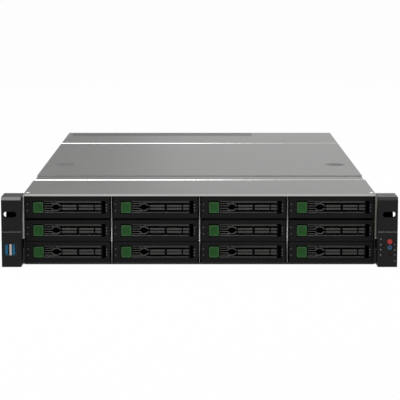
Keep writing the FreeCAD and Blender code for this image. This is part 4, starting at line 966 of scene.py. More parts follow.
lens_white = moulded_plastic("lens_white", (0.24, 0.24, 0.24), (0.30, 0.30, 0.30), 0.25, shine=0.5)
lens_amber = moulded_plastic("lens_amber", (0.30, 0.23, 0.13), (0.36, 0.28, 0.17), 0.25, shine=0.5)
lens_blue = moulded_plastic("lens_blue", (0.09, 0.14, 0.26), (0.13, 0.18, 0.32), 0.25, shine=0.5)
lens_dim = moulded_plastic("lens_dim", (0.13, 0.13, 0.13), (0.17, 0.17, 0.17), 0.25, shine=0.5)
LENSES = ([(INNER_LAMP_X, height, lens_white) for height in INNER_LAMPS]
          + list(zip([OUTER_LAMP_X] * 4, OUTER_LAMPS, (lens_dim, lens_amber, lens_blue, lens_dim))))
for number, (x, height, lens) in enumerate(LENSES, start=1):
    dome = turned([(LAMP_RADIUS, FRONT + 1.5 * MM), (LAMP_RADIUS, FRONT + LAMP_SUNK), (LAMP_RADIUS * 0.8, FRONT),
                   (LAMP_RADIUS * 0.3, FRONT)], (x, height * MM), steps=16)
    finished("lamp_%d" % number, dome, [lens], "chassis", "ear_plastic")


# ---------------------------------------------------------------- fan wall
# A steel wall holds three moulded fan frames with their motors on struts. A rotor with a
# domed hub and seven twisted blades turns on the spindle of each.

FAN_SHEET = 1.2 * MM
BLADES = 7
ROTOR_HUB = 18.0 * MM
ROTOR_DEPTH = 22.0 * MM
BLADE_STATIONS = 6
BLADE_POINTS = 6

fan_black = moulded_plastic("fan_black", (0.010, 0.010, 0.011), (0.018, 0.018, 0.019), 0.5, shine=0.3)
wall_low, wall_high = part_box("fan_wall")
fan_frames = merged_copy("fan_wall")
for face in fan_frames.polygons:
    deepest = max(fan_frames.vertices[number].co.y for number in face.vertices)
    face.material_index = int(deepest < wall_low.y + FAN_SHEET + 0.01 * MM)
finished("fan_frames", fan_frames, [fan_black, cage_steel], "chassis", "fan_plastic", ["fan_wall"])


def rotor(reach, hub, depth):
    """A rotor about the Y direction: domed hub in front, blades twisted and cambered."""
    skin = bmesh.new()
    nose = [(hub, depth), (hub, 1.6 * MM), (hub - 0.5 * MM, 0.5 * MM), (hub - 1.6 * MM, 0),
            (hub * 0.62, 0), (hub * 0.55, 0.7 * MM), (hub * 0.08, 0.7 * MM)]
    lofted(skin, [[(x, y, z) for x, z in circle(radius, 32)] for radius, y in nose])
    for number in range(BLADES):
        stations = []
        for station in range(BLADE_STATIONS):
            out = station / (BLADE_STATIONS - 1)
            radius = hub - 0.5 * MM + out * (reach - hub + 0.5 * MM)
            pitch = math.radians(56 - 24 * out)
            chord = depth * (0.82 + 0.14 * out)
            outline = []
            for side in (1, -1):
                for k in range(BLADE_POINTS):
                    along = k / (BLADE_POINTS - 1) if side > 0 else 1 - k / (BLADE_POINTS - 1)
                    bow = math.sin(math.pi * along)
                    rise = 2.0 * MM * bow + side * (0.25 + 0.45 * bow) * MM
                    run = (along - 0.5) * chord
                    across = run * math.cos(pitch) - rise * math.sin(pitch)
                    turn = 2 * math.pi * number / BLADES + across / radius + 0.3 * out
                    y = depth / 2 + run * math.sin(pitch) + rise * math.cos(pitch)
                    outline.append((radius * math.sin(turn), y, radius * math.cos(turn)))
            stations.append(outline)
        lofted(skin, stations)
    return made_mesh("rotor", skin)


for number in (1, 2, 3):
    name = "fan_rotor_%d" % number
    low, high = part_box(name)
    reach = (high.z - low.z) / 2 - 1.2 * MM
    place = ((low.x + high.x) / 2, low.y, (low.z + high.z) / 2)
    finished(name + "_blades", shifted(rotor(reach, ROTOR_HUB, ROTOR_DEPTH), place), [fan_black], name,
             "fan_plastic", [name])


# ---------------------------------------------------------------- backplane and main board
# Both boards are green glass-fibre laminate with copper tracks under the solder mask. The
# backplane carries the black drive plugs, the main board its processor and memory sockets.

def solder_mask(name):
    """Green solder mask over a fine net of copper tracks, with tinned through holes."""
    material, tree, board = new_material(name)
    where = node(tree, "ShaderNodeTexCoord").outputs["Object"]
    tracks = node(tree, "ShaderNodeTexVoronoi", {"Vector": where, "Scale": 130, "Randomness": 0.55},
                  distance="CHEBYCHEV")
    lines = maths(tree, "PINGPONG", tracks.outputs["Distance"], 0.09)
    copper = ramp(tree, lines, (0.035, (0.004, 0.040, 0.016)), (0.055, (0.010, 0.085, 0.034)), "EASE")
    holes = node(tree, "ShaderNodeTexVoronoi", {"Vector": where, "Scale": 240})
    tinned = maths(tree, "LESS_THAN", holes.outputs["Distance"], 0.10)
    face = node(tree, "ShaderNodeMix", {0: tinned, 6: copper, 7: (0.42, 0.41, 0.38, 1)}, data_type="RGBA")
    gloss = node(tree, "ShaderNodeTexNoise", {"Vector": where, "Scale": 60}).outputs["Fac"]
    fed(tree, board, {"Base Color": face.outputs[2], "Metallic": tinned,
                      "Roughness": spread_to(tree, gloss, 0.26, 0.44),
                      "Normal": relief(tree, copper, 0.25, 0.00005)})
    return material


def part_of(name, wanted):
    """A merged copy of a node's mesh with only the bodies whose box passes a test."""
    skin = merged_skin(name)
    waiting, dropped = set(skin.faces), []
    while waiting:
        group = [waiting.pop()]
        for face in group:
            for edge in face.edges:
                for other in edge.link_faces:
                    if other in waiting:
                        waiting.remove(other)
                        group.append(other)
        points = [vertex.co for face in group for vertex in face.verts]
        low = Vector([min(point[k] for point in points) for k in range(3)])
        high = Vector([max(point[k] for point in points) for k in range(3)])
        if not wanted(low, high):
            dropped += group
    bmesh.ops.delete(skin, geom=dropped, context="FACES")
    return plain_mesh(name, skin)


BACKPLANE_SHEET = 2.0 * MM
BOARD_SHEET = 1.6 * MM
MEMORY_SOCKET_WIDTH = 5.6 * MM
PORT_DEPTH = 16.0 * MM

board_green = solder_mask("board_green")
plug_black = moulded_plastic("plug_black", (0.012, 0.012, 0.012), (0.020, 0.020, 0.020), 0.45, shine=0.3)
plane_low, plane_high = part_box("drive_backplane")
plane_front = plane_high.y - BACKPLANE_SHEET
finished("backplane_board", part_of("drive_backplane", lambda low, high: high.y > plane_front + 1 * MM),
         [board_green], "chassis", "circuit_board", ["drive_backplane"])
finished("backplane_plugs", part_of("drive_backplane", lambda low, high: high.y < plane_front + 1 * MM),
         [plug_black], "chassis", "circuit_board", ["drive_backplane"], edge=0.3 * MM)

board_low, board_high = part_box("main_board")
board_top = board_low.z + BOARD_SHEET
ports_start = board_high.y - PORT_DEPTH - 5 * MM
BOARD = ("chassis", "circuit_board", ["main_board"])
finished("main_board_laminate", part_of("main_board", lambda low, high: high.z < board_top + 0.1 * MM),
         [board_green], *BOARD)
socket_frame = sheet_steel("socket_frame", (0.58, 0.57, 0.55), (0.48, 0.47, 0.46), 0.35)
finished("processor_sockets",
         part_of("main_board", lambda low, high: high.z > board_top + 1 * MM and high.y < ports_start
                 and high.x - low.x > 2 * MEMORY_SOCKET_WIDTH),
         [socket_frame], *BOARD, edge=0.4 * MM)
finished("memory_sockets",
         part_of("main_board", lambda low, high: high.z > board_top + 1 * MM and high.y < ports_start
                 and high.x - low.x < 2 * MEMORY_SOCKET_WIDTH),
         [plug_black], *BOARD, edge=0.3 * MM)


# ---------------------------------------------------------------- coolers
# Two coolers of pressed aluminium fins stand on the processors, in line with the air from
# the fans.

def growth_tree(name, result, **given):
    """An empty geometry node tree with its named inputs and one result."""
    tree = bpy.data.node_groups.new(name, "GeometryNodeTree")
    for label, kind in given.items():
        tree.interface.new_socket(label.replace("_", " "), in_out="INPUT", socket_type="NodeSocket" + kind)
    tree.interface.new_socket(result, in_out="OUTPUT", socket_type="NodeSocketGeometry")
    return tree, tree.nodes.new("NodeGroupInput").outputs


def fin_row():
    """A node tree that repeats one upright fin along X."""
    tree, given = growth_tree("fin_row", "Cooler", Base="Geometry", Fins="Int", First_Fin="Vector",
                              Fin_Pitch="Vector", Fin_Size="Vector", Finish="Material")
    places = node(tree, "GeometryNodeMeshLine", {"Count": given["Fins"], "Start Location": given["First Fin"],
                                                 "Offset": given["Fin Pitch"]})
    fin = node(tree, "GeometryNodeMeshCube", {"Size": given["Fin Size"]})
    row = node(tree, "GeometryNodeInstanceOnPoints", {"Points": places.outputs["Mesh"],
                                                      "Instance": fin.outputs["Mesh"]})
    joined = node(tree, "GeometryNodeJoinGeometry", {"Geometry": given["Base"]})
    tree.links.new(row.outputs["Instances"], joined.inputs["Geometry"])
    real = node(tree, "GeometryNodeRealizeInstances", {"Geometry": joined.outputs["Geometry"]})
    coat = node(tree, "GeometryNodeSetMaterial", {"Geometry": real.outputs["Geometry"],
                                                  "Material": given["Finish"]})
    node(tree, "NodeGroupOutput", {"Cooler": coat.outputs["Geometry"]})
    return tree


def grown(base, tree, **values):
    """The plain mesh that a node tree makes from a base mesh and its named inputs."""
    holder = bpy.data.objects.new("holder", base)
    bpy.context.scene.collection.objects.link(holder)
    growth = holder.modifiers.new("growth", "NODES")
    growth.node_group = tree
    for socket in tree.interface.items_tree:
        label = socket.name.replace(" ", "_").lower()
        if socket.in_out == "INPUT" and label in values:
            growth[socket.identifier] = values[label]
    made = bpy.data.meshes.new_from_object(holder.evaluated_get(bpy.context.evaluated_depsgraph_get()))
    bpy.data.objects.remove(holder)
    bpy.data.meshes.remove(base)
    return made


COOLER_SIZE = 78.0 * MM
COOLER_BASE = 5.0 * MM
FINS = 26
FIN_SHEET = 0.9 * MM

fin_metal = sheet_steel("fin_metal", (0.66, 0.66, 0.67), (0.56, 0.56, 0.57), 0.32, grain=500.0)
fin_tree = fin_row()
sinks_low, sinks_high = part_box("heat_sinks")
for number, left in enumerate((sinks_low.x, sinks_high.x - COOLER_SIZE), start=1):
    skin = bmesh.new()
    block(skin, (left, sinks_low.y, sinks_low.z), (left + COOLER_SIZE, sinks_high.y, sinks_low.z + COOLER_BASE))
    tall = sinks_high.z - sinks_low.z - COOLER_BASE + 0.5 * MM
    first = (left + FIN_SHEET / 2, (sinks_low.y + sinks_high.y) / 2, sinks_high.z - tall / 2)
    pitch = (COOLER_SIZE - FIN_SHEET) / (FINS - 1)
    cooler = grown(made_mesh("cooler", skin), fin_tree, fins=FINS, first_fin=first, fin_pitch=(pitch, 0, 0),
                   fin_size=(FIN_SHEET, sinks_high.y - sinks_low.y, tall), finish=fin_metal)
    finished("cooler_%d" % number, cooler, [], "chassis", "fin_aluminium", ["heat_sinks"])


# ---------------------------------------------------------------- memory modules
# Eight memory modules stand between the coolers: a thin board with a row of chips on each
# side.

def on_points():
    """A node tree that puts one small part on every point, its top turned to the facing."""
    tree, given = growth_tree("on_points", "Parts", Points="Geometry", Part="Object")
    part = node(tree, "GeometryNodeObjectInfo", {"Object": given["Part"]})
    facing = node(tree, "GeometryNodeInputNamedAttribute", {"Name": "facing"}, data_type="FLOAT_VECTOR")
    turn = node(tree, "FunctionNodeAlignRotationToVector", {"Vector": facing.outputs["Attribute"]}, axis="Z")
    size = node(tree, "GeometryNodeInputNamedAttribute", {"Name": "size"}, data_type="FLOAT")
    spread = node(tree, "GeometryNodeInstanceOnPoints",
                  {"Points": given["Points"], "Instance": part.outputs["Geometry"],
                   "Rotation": turn.outputs["Rotation"], "Scale": size.outputs["Attribute"]})
    real = node(tree, "GeometryNodeRealizeInstances", {"Geometry": spread.outputs["Instances"]})
    node(tree, "NodeGroupOutput", {"Parts": real.outputs["Geometry"]})
    return tree


def repeated(part_mesh, places):
    """One mesh with a copy of a part at every place; a place is (point, facing, size)."""
    points = bpy.data.meshes.new("points")
    points.from_pydata([place[0] for place in places], [], [])
    points.attributes.new("facing", "FLOAT_VECTOR", "POINT")
    points.attributes.new("size", "FLOAT", "POINT")
    points.attributes["facing"].data.foreach_set("vector", [value for place in places for value in place[1]])
    points.attributes["size"].data.foreach_set("value", [place[2] for place in places])
    part = bpy.data.objects.new("part", part_mesh)
    made = grown(points, point_tree, part=part)
    bpy.data.objects.remove(part)
    bpy.data.meshes.remove(part_mesh)
    return made


MODULES = 8
MODULE_SHEET = 1.4 * MM
CHIPS = 9
CHIP_SIZE = (9.0 * MM, 11.0 * MM)
UP = (0, 0, 1)
LEFT, RIGHT = (-1, 0, 0), (1, 0, 0)
BACK = (0, 1, 0)

point_tree = on_points()
modules_low, modules_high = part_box("memory_modules")
module_long = modules_high.y - modules_low.y
module_tall = modules_high.z - modules_low.z
module_pitch = (modules_high.x - modules_low.x - MODULE_SHEET) / (MODULES - 1)
chip_black = moulded_plastic("chip_black", (0.010, 0.010, 0.010), (0.016, 0.016, 0.016), 0.4, shine=0.3)


def module_boards():
    """The bare board of one module, standing on its contacts."""
    mesh = boxes("module_board", ((-MODULE_SHEET / 5, -module_long / 2, 0),
                                  (MODULE_SHEET / 5, module_long / 2, module_tall)))
    mesh.materials.append(board_green)
    return mesh


def module_chips():
    """The chips on both sides of one module."""
    skin = bmesh.new()
    pitch = module_long / CHIPS
    for number in range(CHIPS):
        y = -module_long / 2 + (number + 0.5) * pitch
        for inner, outer in ((-MODULE_SHEET / 5, -MODULE_SHEET / 2), (MODULE_SHEET / 5, MODULE_SHEET / 2)):
            block(skin, (min(inner, outer), y - CHIP_SIZE[0] / 2, 10 * MM),
                  (max(inner, outer), y + CHIP_SIZE[0] / 2, 10 * MM + CHIP_SIZE[1]))
    mesh = made_mesh("module_chips", skin)
    mesh.materials.append(chip_black)
    return mesh


module_places = [((modules_low.x + MODULE_SHEET / 2 + number * module_pitch,
                   (modules_low.y + modules_high.y) / 2, modules_low.z), UP, 1.0) for number in range(MODULES)]
finished("memory_boards", repeated(module_boards(), module_places), [], "chassis", "circuit_board",
         ["memory_modules"])
finished("memory_chips", repeated(module_chips(), module_places), [], "chassis", "circuit_board",
         ["memory_modules"])


# ---------------------------------------------------------------- back wall
# The rear panel's wall is pierced for the air: a honeycomb field over the connectors and a
# honeycomb strip in each slot blank. The thin connector shield below has its own field.

def honeycomb_tree():
    """A node tree that tiles a field with six-sided cells, each second row half a cell aside."""
    tree, given = growth_tree("honeycomb", "Sheet", Base="Geometry", Cell="Object", Columns="Int", Rows="Int",
                              Pitch="Float", Finish="Material")
    pitch, columns, rows = given["Pitch"], given["Columns"], given["Rows"]
    row_pitch = maths(tree, "MULTIPLY", pitch, math.sqrt(3) / 2)
    field = node(tree, "GeometryNodeMeshGrid",
                 {"Size X": maths(tree, "MULTIPLY", maths(tree, "SUBTRACT", columns, 1), pitch),
                  "Size Y": maths(tree, "MULTIPLY", maths(tree, "SUBTRACT", rows, 1), row_pitch),
                  "Vertices X": columns, "Vertices Y": rows})
    row = maths(tree, "MODULO", node(tree, "GeometryNodeInputIndex").outputs[0], rows)
    odd = maths(tree, "MODULO", row, 2)
    aside = node(tree, "ShaderNodeCombineXYZ",
                 {"X": maths(tree, "MULTIPLY", maths(tree, "SUBTRACT", odd, 0.5), maths(tree, "MULTIPLY", pitch, 0.5))})
    staggered = node(tree, "GeometryNodeSetPosition", {"Geometry": field.outputs["Mesh"],
                                                       "Offset": aside.outputs[0]})
    cell = node(tree, "GeometryNodeObjectInfo", {"Object": given["Cell"]})
    spread = node(tree, "GeometryNodeInstanceOnPoints", {"Points": staggered.outputs["Geometry"],
                                                         "Instance": cell.outputs["Geometry"]})
    upright = node(tree, "GeometryNodeTransform", {"Geometry": spread.outputs["Instances"],
                                                   "Rotation": (math.pi / 2, 0, 0)})
    real = node(tree, "GeometryNodeRealizeInstances", {"Geometry": upright.outputs["Geometry"]})
    coat = node(tree, "GeometryNodeSetMaterial", {"Geometry": real.outputs["Geometry"],
                                                  "Material": given["Finish"]})
    node(tree, "NodeGroupOutput", {"Sheet": coat.outputs["Geometry"]})
    return tree


def honeycomb_cell(pitch, web, sheet):
    """One six-sided ring of sheet, open at its outer sides where the next cell joins it."""
    skin = bmesh.new()
    rings = []
    for across, depth in ((pitch, sheet / 2), (pitch - web, sheet / 2), (pitch - web, -sheet / 2),
                          (pitch, -sheet / 2)):
        radius = across / math.sqrt(3)
        rings.append([skin.verts.new((radius * math.cos(math.radians(30 + 60 * k)),
                                      radius * math.sin(math.radians(30 + 60 * k)), depth)) for k in range(6)])
    for one, two in zip(rings, rings[1:]):
        for k in range(6):
            skin.faces.new((one[k], one[(k + 1) % 6], two[(k + 1) % 6], two[k]))
    return plain_mesh("cell", skin)


def honeycomb_sheet(low, high, pitch, web, ys, finish):
    """A closed honeycomb sheet that just covers a field from low to high, each (x, z)."""
    columns = math.ceil((high[0] - low[0]) / pitch) + 1
    rows = math.ceil((high[1] - low[1]) / (pitch * math.sqrt(3) / 2)) + 1
    cell = bpy.data.objects.new("cell", honeycomb_cell(pitch, web, ys[1] - ys[0]))
    made = grown(bpy.data.meshes.new("field"), comb_tree, cell=cell, columns=columns, rows=rows, pitch=pitch,
                 finish=finish)
    bpy.data.objects.remove(cell)
    skin = bmesh.new()
    skin.from_mesh(made)
    bmesh.ops.remove_doubles(skin, verts=skin.verts, dist=pitch * 0.01)
    bmesh.ops.bridge_loops(skin, edges=[edge for edge in skin.edges if edge.is_boundary])
    bmesh.ops.recalc_face_normals(skin, faces=skin.faces)
    bmesh.ops.translate(skin, verts=skin.verts,
                        vec=((low[0] + high[0]) / 2, (ys[0] + ys[1]) / 2, (low[1] + high[1]) / 2))
    skin.to_mesh(made)
    skin.free()
    return made


def pierced(mesh, low, high):
    """A mesh with a rectangular opening cut through it."""
    return carved(mesh, boxes("cutter", (low, high)))


comb_tree = honeycomb_tree()
panel_low, panel_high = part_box("rear_panel")
REAR = panel_high.y
WALL_FRONT = REAR - 1.2 * MM
BLANK_SHEET = 0.8 * MM
BLANKS = 7
BLANK_WIDTH = 18.4 * MM
BLANK_PITCH = 20.32 * MM
FIRST_BLANK = 52.8 * MM
BLANK_Z = (4.0 * MM, 82.0 * MM)
FIELD_LOW = (-114.0 * MM, 54.0 * MM)
FIELD_HIGH = (39.0 * MM, 77.0 * MM)
PANEL_CELL, PANEL_WEB = 5.2 * MM, 1.1 * MM
BLANK_CELL, BLANK_WEB = 3.9 * MM, 0.9 * MM
BLANK_FIELD = 5.8 * MM
BLANK_FIELD_Z = (13.0 * MM, 73.0 * MM)
PROUD = 0.06 * MM


def is_blank(low, high):
    """Whether a body of the rear panel is one of the slot blanks."""
    return high.x - low.x < BLANK_WIDTH + 0.1 * MM and low.y > WALL_FRONT - 2 * BLANK_SHEET


panel_sheet = part_of("rear_panel", lambda low, high: not is_blank(low, high))
panel_sheet = pierced(panel_sheet, (FIELD_LOW[0], WALL_FRONT - 1 * MM, FIELD_LOW[1]),
                      (FIELD_HIGH[0], REAR + 1 * MM, FIELD_HIGH[1]))
# The low strip at the back is painted darker as painted shade.
coated(flat_skin(panel_sheet), 1, lambda middle, normal: middle.y > RECESS_FROM and normal.z > 0.7
       and SKIN_TOP - 0.8 * MM < middle.z < SKIN_TOP - 0.3 * MM)
finished("rear_panel_sheet", panel_sheet, [cover_steel, recess_painted_shade], "chassis", "cover_steel", ["rear_panel"],
         crease=30)
finished("panel_honeycomb",
         honeycomb_sheet(FIELD_LOW, FIELD_HIGH, PANEL_CELL, PANEL_WEB, (WALL_FRONT + PROUD, REAR - PROUD), cover_steel),
         [], "chassis", "cover_steel", ["rear_panel"])

skin = bmesh.new()
for number in range(BLANKS):
    left = FIRST_BLANK + number * BLANK_PITCH
    middle = left + BLANK_WIDTH / 2
    lattice(skin, (left, middle - BLANK_FIELD, middle + BLANK_FIELD, left + BLANK_WIDTH),
            (BLANK_Z[0], BLANK_FIELD_Z[0], BLANK_FIELD_Z[1], BLANK_Z[1]),
            (WALL_FRONT - BLANK_SHEET, WALL_FRONT), lambda i, j: not (i == 1 and j == 1))
finished("slot_blanks", made_mesh("slot_blanks", skin), [cage_steel], "chassis", "cover_steel", ["rear_panel"])
for number in range(BLANKS):
    middle = FIRST_BLANK + number * BLANK_PITCH + BLANK_WIDTH / 2
    comb = honeycomb_sheet((middle - BLANK_FIELD, BLANK_FIELD_Z[0]), (middle + BLANK_FIELD, BLANK_FIELD_Z[1]),
                           BLANK_CELL, BLANK_WEB, (WALL_FRONT - BLANK_SHEET + PROUD, WALL_FRONT - PROUD), cage_steel)
    finished("blank_honeycomb_%d" % (number + 1), comb, [], "chassis", "cover_steel", ["rear_panel"])


# ---------------------------------------------------------------- rear connectors
# The connectors stand on the main board's rear edge and look out through a thin pressed
# shield: two D-shaped ones with jack screws, two stacks of two USB sockets and two network
# sockets with a lamp in each upper corner.

SHIELD_X = (-116.8 * MM, 41.6 * MM)
SHIELD_Z = (5.2 * MM, 49.3 * MM)
SHIELD_Y = (REAR - 1.0 * MM, REAR - 0.5 * MM)
PORTS_END = board_high.y
PORTS_BACK = PORTS_END - PORT_DEPTH
PORT_BASE = board_top
D_PORTS = ((-111.0 * MM, -80.0 * MM), (-75.5 * MM, -44.5 * MM))
D_TALL = 12.5 * MM
STACKS = ((-40.0 * MM, -26.0 * MM), (-21.5 * MM, -7.5 * MM))
STACK_TALL = 16.0 * MM
NETWORK = ((-3.0 * MM, 13.0 * MM), (17.5 * MM, 33.5 * MM))
NETWORK_TALL = 14.0 * MM
PORT_ROOM = 0.3 * MM
CONTACT_PITCH = 1.02 * MM
LAMP_PROUD = 0.0001 * MM
JACK_ASIDE = 12.4 * MM
PIN_PITCH = 2.7 * MM
PIN_ROW_PITCH = 2.2 * MM
SHELL_WALL = 0.5 * MM

shield_steel = sheet_steel("shield_steel", (0.62, 0.62, 0.61), (0.54, 0.54, 0.53), 0.3)
serial_insert = moulded_plastic("serial_insert", (0.013, 0.075, 0.060), (0.02, 0.10, 0.08), 0.45)
video_insert = moulded_plastic("video_insert", (0.010, 0.040, 0.19), (0.015, 0.06, 0.24), 0.45)
ports = ([(left, right, D_TALL) for left, right in D_PORTS]
         + [(left, right, STACK_TALL) for left, right in STACKS]
         + [(left, right, NETWORK_TALL) for left, right in NETWORK])
xs = sorted([SHIELD_X[0], SHIELD_X[1]] + [left - PORT_ROOM for left, right, tall in ports]
            + [right + PORT_ROOM for left, right, tall in ports])
vent_z = (30.0 * MM, 45.5 * MM)
zs = sorted({SHIELD_Z[0], SHIELD_Z[1], PORT_BASE, vent_z[0], vent_z[1]}
            | {PORT_BASE + tall + PORT_ROOM for left, right, tall in ports})


def shield_kept(i, j):
    """Whether a cell of the shield is sheet and not an opening."""
    x, z = (xs[i] + xs[i + 1]) / 2, (zs[j] + zs[j + 1]) / 2
    for left, right, tall in ports:
        if left < x < right and PORT_BASE < z < PORT_BASE + tall + PORT_ROOM:
            return False
    return not (vent_z[0] < z < vent_z[1] and 0 < i < len(xs) - 2)


skin = bmesh.new()
lattice(skin, xs, zs, SHIELD_Y, shield_kept)
finished("connector_shield", made_mesh("shield", skin), [shield_steel], "chassis", "cover_steel", edge=0.1 * MM)
finished("shield_honeycomb",
         honeycomb_sheet((xs[1], vent_z[0]), (xs[-2], vent_z[1]), 4.6 * MM, 1.0 * MM,
                         (SHIELD_Y[0] + PROUD, SHIELD_Y[1] - PROUD), shield_steel),
         [], "chassis", "cover_steel")


def d_outline(half_x, half_z, lean, corner=1.6 * MM):
    """Points round the D shape: a rectangle whose lower side is shorter, its corners round."""
    points = []
    for x, z in rounded_outline(half_x, half_z, corner):
        points.append((x * (1 + lean * z / half_z), z))
    return points


def d_shell(middle_x, middle_z):
    """The drawn shell of a D connector with its flange, an open tub."""
    skin = bmesh.new()
    rings = []
    for half_x, half_z, y in ((8.6, 4.2, PORTS_END - 6 * MM), (8.6, 4.2, PORTS_END - 0.1 * MM),
                              (8.1, 3.7, PORTS_END - 0.1 * MM), (8.1, 3.7, PORTS_END - 5.5 * MM)):
        rings.append([(middle_x - x, y, middle_z + z) for x, z in d_outline(half_x * MM, half_z * MM, 0.06)])
    lofted(skin, rings)
    half_x, half_z = 15.2 * MM, 6.0 * MM
    block(skin, (middle_x - half_x, PORTS_END - 7.5 * MM, middle_z - half_z),
          (middle_x + half_x, PORTS_END - 6 * MM, middle_z + half_z))
    return made_mesh("d_shell", skin)


def nut(radius, tall, bore):
    """A six-sided jack screw with a threaded hole, standing on z 0."""
    profile = ((radius, 0), (radius, tall * 0.85), (radius * 0.9, tall), (bore, tall), (bore, tall * 0.2))
    return loft_mesh("nut", [[(x, y, level) for x, y in circle(reach, 6)] for reach, level in profile])


def pin(radius, tall):
    """A round contact with a tapered tip, standing on z 0."""
    profile = ((radius, 0), (radius, tall * 0.8), (radius * 0.5, tall))
    mesh = loft_mesh("pin", [[(x, y, level) for x, y in circle(reach, 8)] for reach, level in profile])
    mesh.materials.append(contact_gold)
    return mesh


for name, (left, right), insert, rows in (("serial", D_PORTS[0], serial_insert, (5, 4)),
                                          ("video", D_PORTS[1], video_insert, (5, 5, 5))):
    middle_x, middle_z = (left + right) / 2, PORT_BASE + D_TALL / 2
    skin = bmesh.new()
    block(skin, (left + 0.5 * MM, PORTS_BACK, PORT_BASE), (right - 0.5 * MM, PORTS_END - 7.4 * MM, PORT_BASE + D_TALL))
    lofted(skin, [[(middle_x - x, y, middle_z + z) for x, z in d_outline(7.9 * MM * share, 3.5 * MM * share, 0.06)]
                  for share, y in ((1, PORTS_END - 6 * MM), (1, PORTS_END - 2.6 * MM), (0.97, PORTS_END - 2.4 * MM))])
    finished(name + "_insert", made_mesh("insert", skin), [insert], *BOARD)
    finished(name + "_shell", d_shell(middle_x, middle_z), [plated], *BOARD, edge=0.15 * MM)
    pins = []
    for line, count in enumerate(rows):
        z = middle_z + ((len(rows) - 1) / 2 - line) * PIN_ROW_PITCH
        pins += [((middle_x + (k - (count - 1) / 2) * PIN_PITCH, PORTS_END - 3 * MM, z), BACK, 1.0)
                 for k in range(count)]
    finished(name + "_pins", repeated(pin(0.5 * MM, 2.2 * MM), pins), [], *BOARD)
    jack = nut(2.6 * MM, 5.2 * MM, 1.2 * MM)
    jack.materials.append(plated)
    jacks = [((middle_x + side * JACK_ASIDE, PORTS_END - 6 * MM, middle_z), BACK, 1.0) for side in (-1, 1)]
    finished(name + "_jack_screws", repeated(jack, jacks), [], *BOARD)

for number, (left, right) in enumerate(STACKS, start=1):
    top = PORT_BASE + STACK_TALL
    half = (PORT_BASE + top) / 2
    skin = bmesh.new()
    lattice(skin, (left, left + SHELL_WALL, right - SHELL_WALL, right),
            (PORT_BASE, PORT_BASE + SHELL_WALL, half - 1 * MM, half + 1 * MM, top - SHELL_WALL, top),
            (PORTS_BACK, PORTS_END), lambda i, j: not (i == 1 and j in (1, 3)))
    block(skin, (left, PORTS_BACK - 0.5 * MM, PORT_BASE), (right, PORTS_BACK, top))
    finished("usb_stack_%d" % number, made_mesh("stack", skin), [plated], *BOARD, edge=0.12 * MM)
    finished("usb_stack_tongues_%d" % number,
             boxes("tongues", *(((left + 1.2 * MM, PORTS_BACK, low_z + 3.4 * MM),
                                 (right - 1.2 * MM, PORTS_END - 1 * MM, low_z + 5.2 * MM))
                                for low_z in (PORT_BASE + SHELL_WALL, half + 1 * MM))),
             [tongue_blue], *BOARD, edge=0.2 * MM)

lamp_green = moulded_plastic("lamp_green", (0.05, 0.30, 0.06), (0.07, 0.38, 0.09), 0.25, shine=0.5)
for number, (left, right) in enumerate(NETWORK, start=1):
    top = PORT_BASE + NETWORK_TALL
    middle = (left + right) / 2
    skin = bmesh.new()
    lattice(skin, (left, left + 1.8 * MM, middle - 3 * MM, middle + 3 * MM, right - 1.8 * MM, right),
            (PORT_BASE, PORT_BASE + 1.2 * MM, PORT_BASE + 3.4 * MM, top - 3.6 * MM, top),
            (PORTS_BACK, PORTS_END), lambda i, j: not (i in (1, 2, 3) and (j == 2 or (j == 1 and i == 2))))
    block(skin, (left, PORTS_BACK - 0.5 * MM, PORT_BASE), (right, PORTS_BACK, top))
    finished("network_socket_%d" % number, made_mesh("network", skin), [plated], *BOARD, edge=0.15 * MM)
    contacts = [middle + (k - 3.5) * CONTACT_PITCH for k in range(8)]
    finished("network_contacts_%d" % number,
             boxes("contacts", ((left + 1.5 * MM, PORTS_BACK, top - 3.9 * MM),
                                (right - 1.5 * MM, PORTS_END - 8 * MM, top - 3.4 * MM)),
                   *(((x - 0.22 * MM, PORTS_BACK, top - 5.2 * MM), (x + 0.22 * MM, PORTS_END - 2 * MM, top - 3.6 * MM))
                     for x in contacts)), [contact_gold], *BOARD)
    finished("network_lamps_%d" % number,
             boxes("lamps", *(((low_x, PORTS_END - 3 * MM, top - 2.8 * MM),
                               (low_x + 3 * MM, PORTS_END + LAMP_PROUD, top - 0.9 * MM))
                              for low_x in (left + 0.8 * MM, right - 3.8 * MM))), [lamp_green], *BOARD)


# ---------------------------------------------------------------- power supplies
# Each plug-in supply is a steel can with a pierced rear face, a small fan behind it, a
# three-pin inlet, a fixed pull handle and a sprung latch.

SUPPLY_REACH = 30.0 * MM
SUPPLY_SHEET = 1.0 * MM
INLET_X = (-33.5 * MM, -6.5 * MM)
INLET_DEPTH = 12.0 * MM
VENT_X = (-4.0 * MM, 26.5 * MM)
HANDLE_LEGS = (1.5 * MM, 22.5 * MM)
HANDLE_SECTION = (2.5 * MM, 5.0 * MM)
HANDLE_BEND = 6.5 * MM
LATCH_RIBS = 5
LATCH_SHEET = 2.2 * MM

supply_steel = sheet_steel("supply_steel", (0.50, 0.50, 0.49), (0.43, 0.43, 0.42), 0.35)
inlet_black = moulded_plastic("inlet_black", (0.010, 0.010, 0.010), (0.016, 0.016, 0.016), 0.4, shine=0.35)
handle_grey = moulded_plastic("handle_grey", (0.020, 0.020, 0.021), (0.035, 0.035, 0.036), 0.45, shine=0.3)
latch_green = moulded_plastic("latch_green", (0.010, 0.10, 0.030), (0.016, 0.14, 0.045), 0.4, shine=0.3)


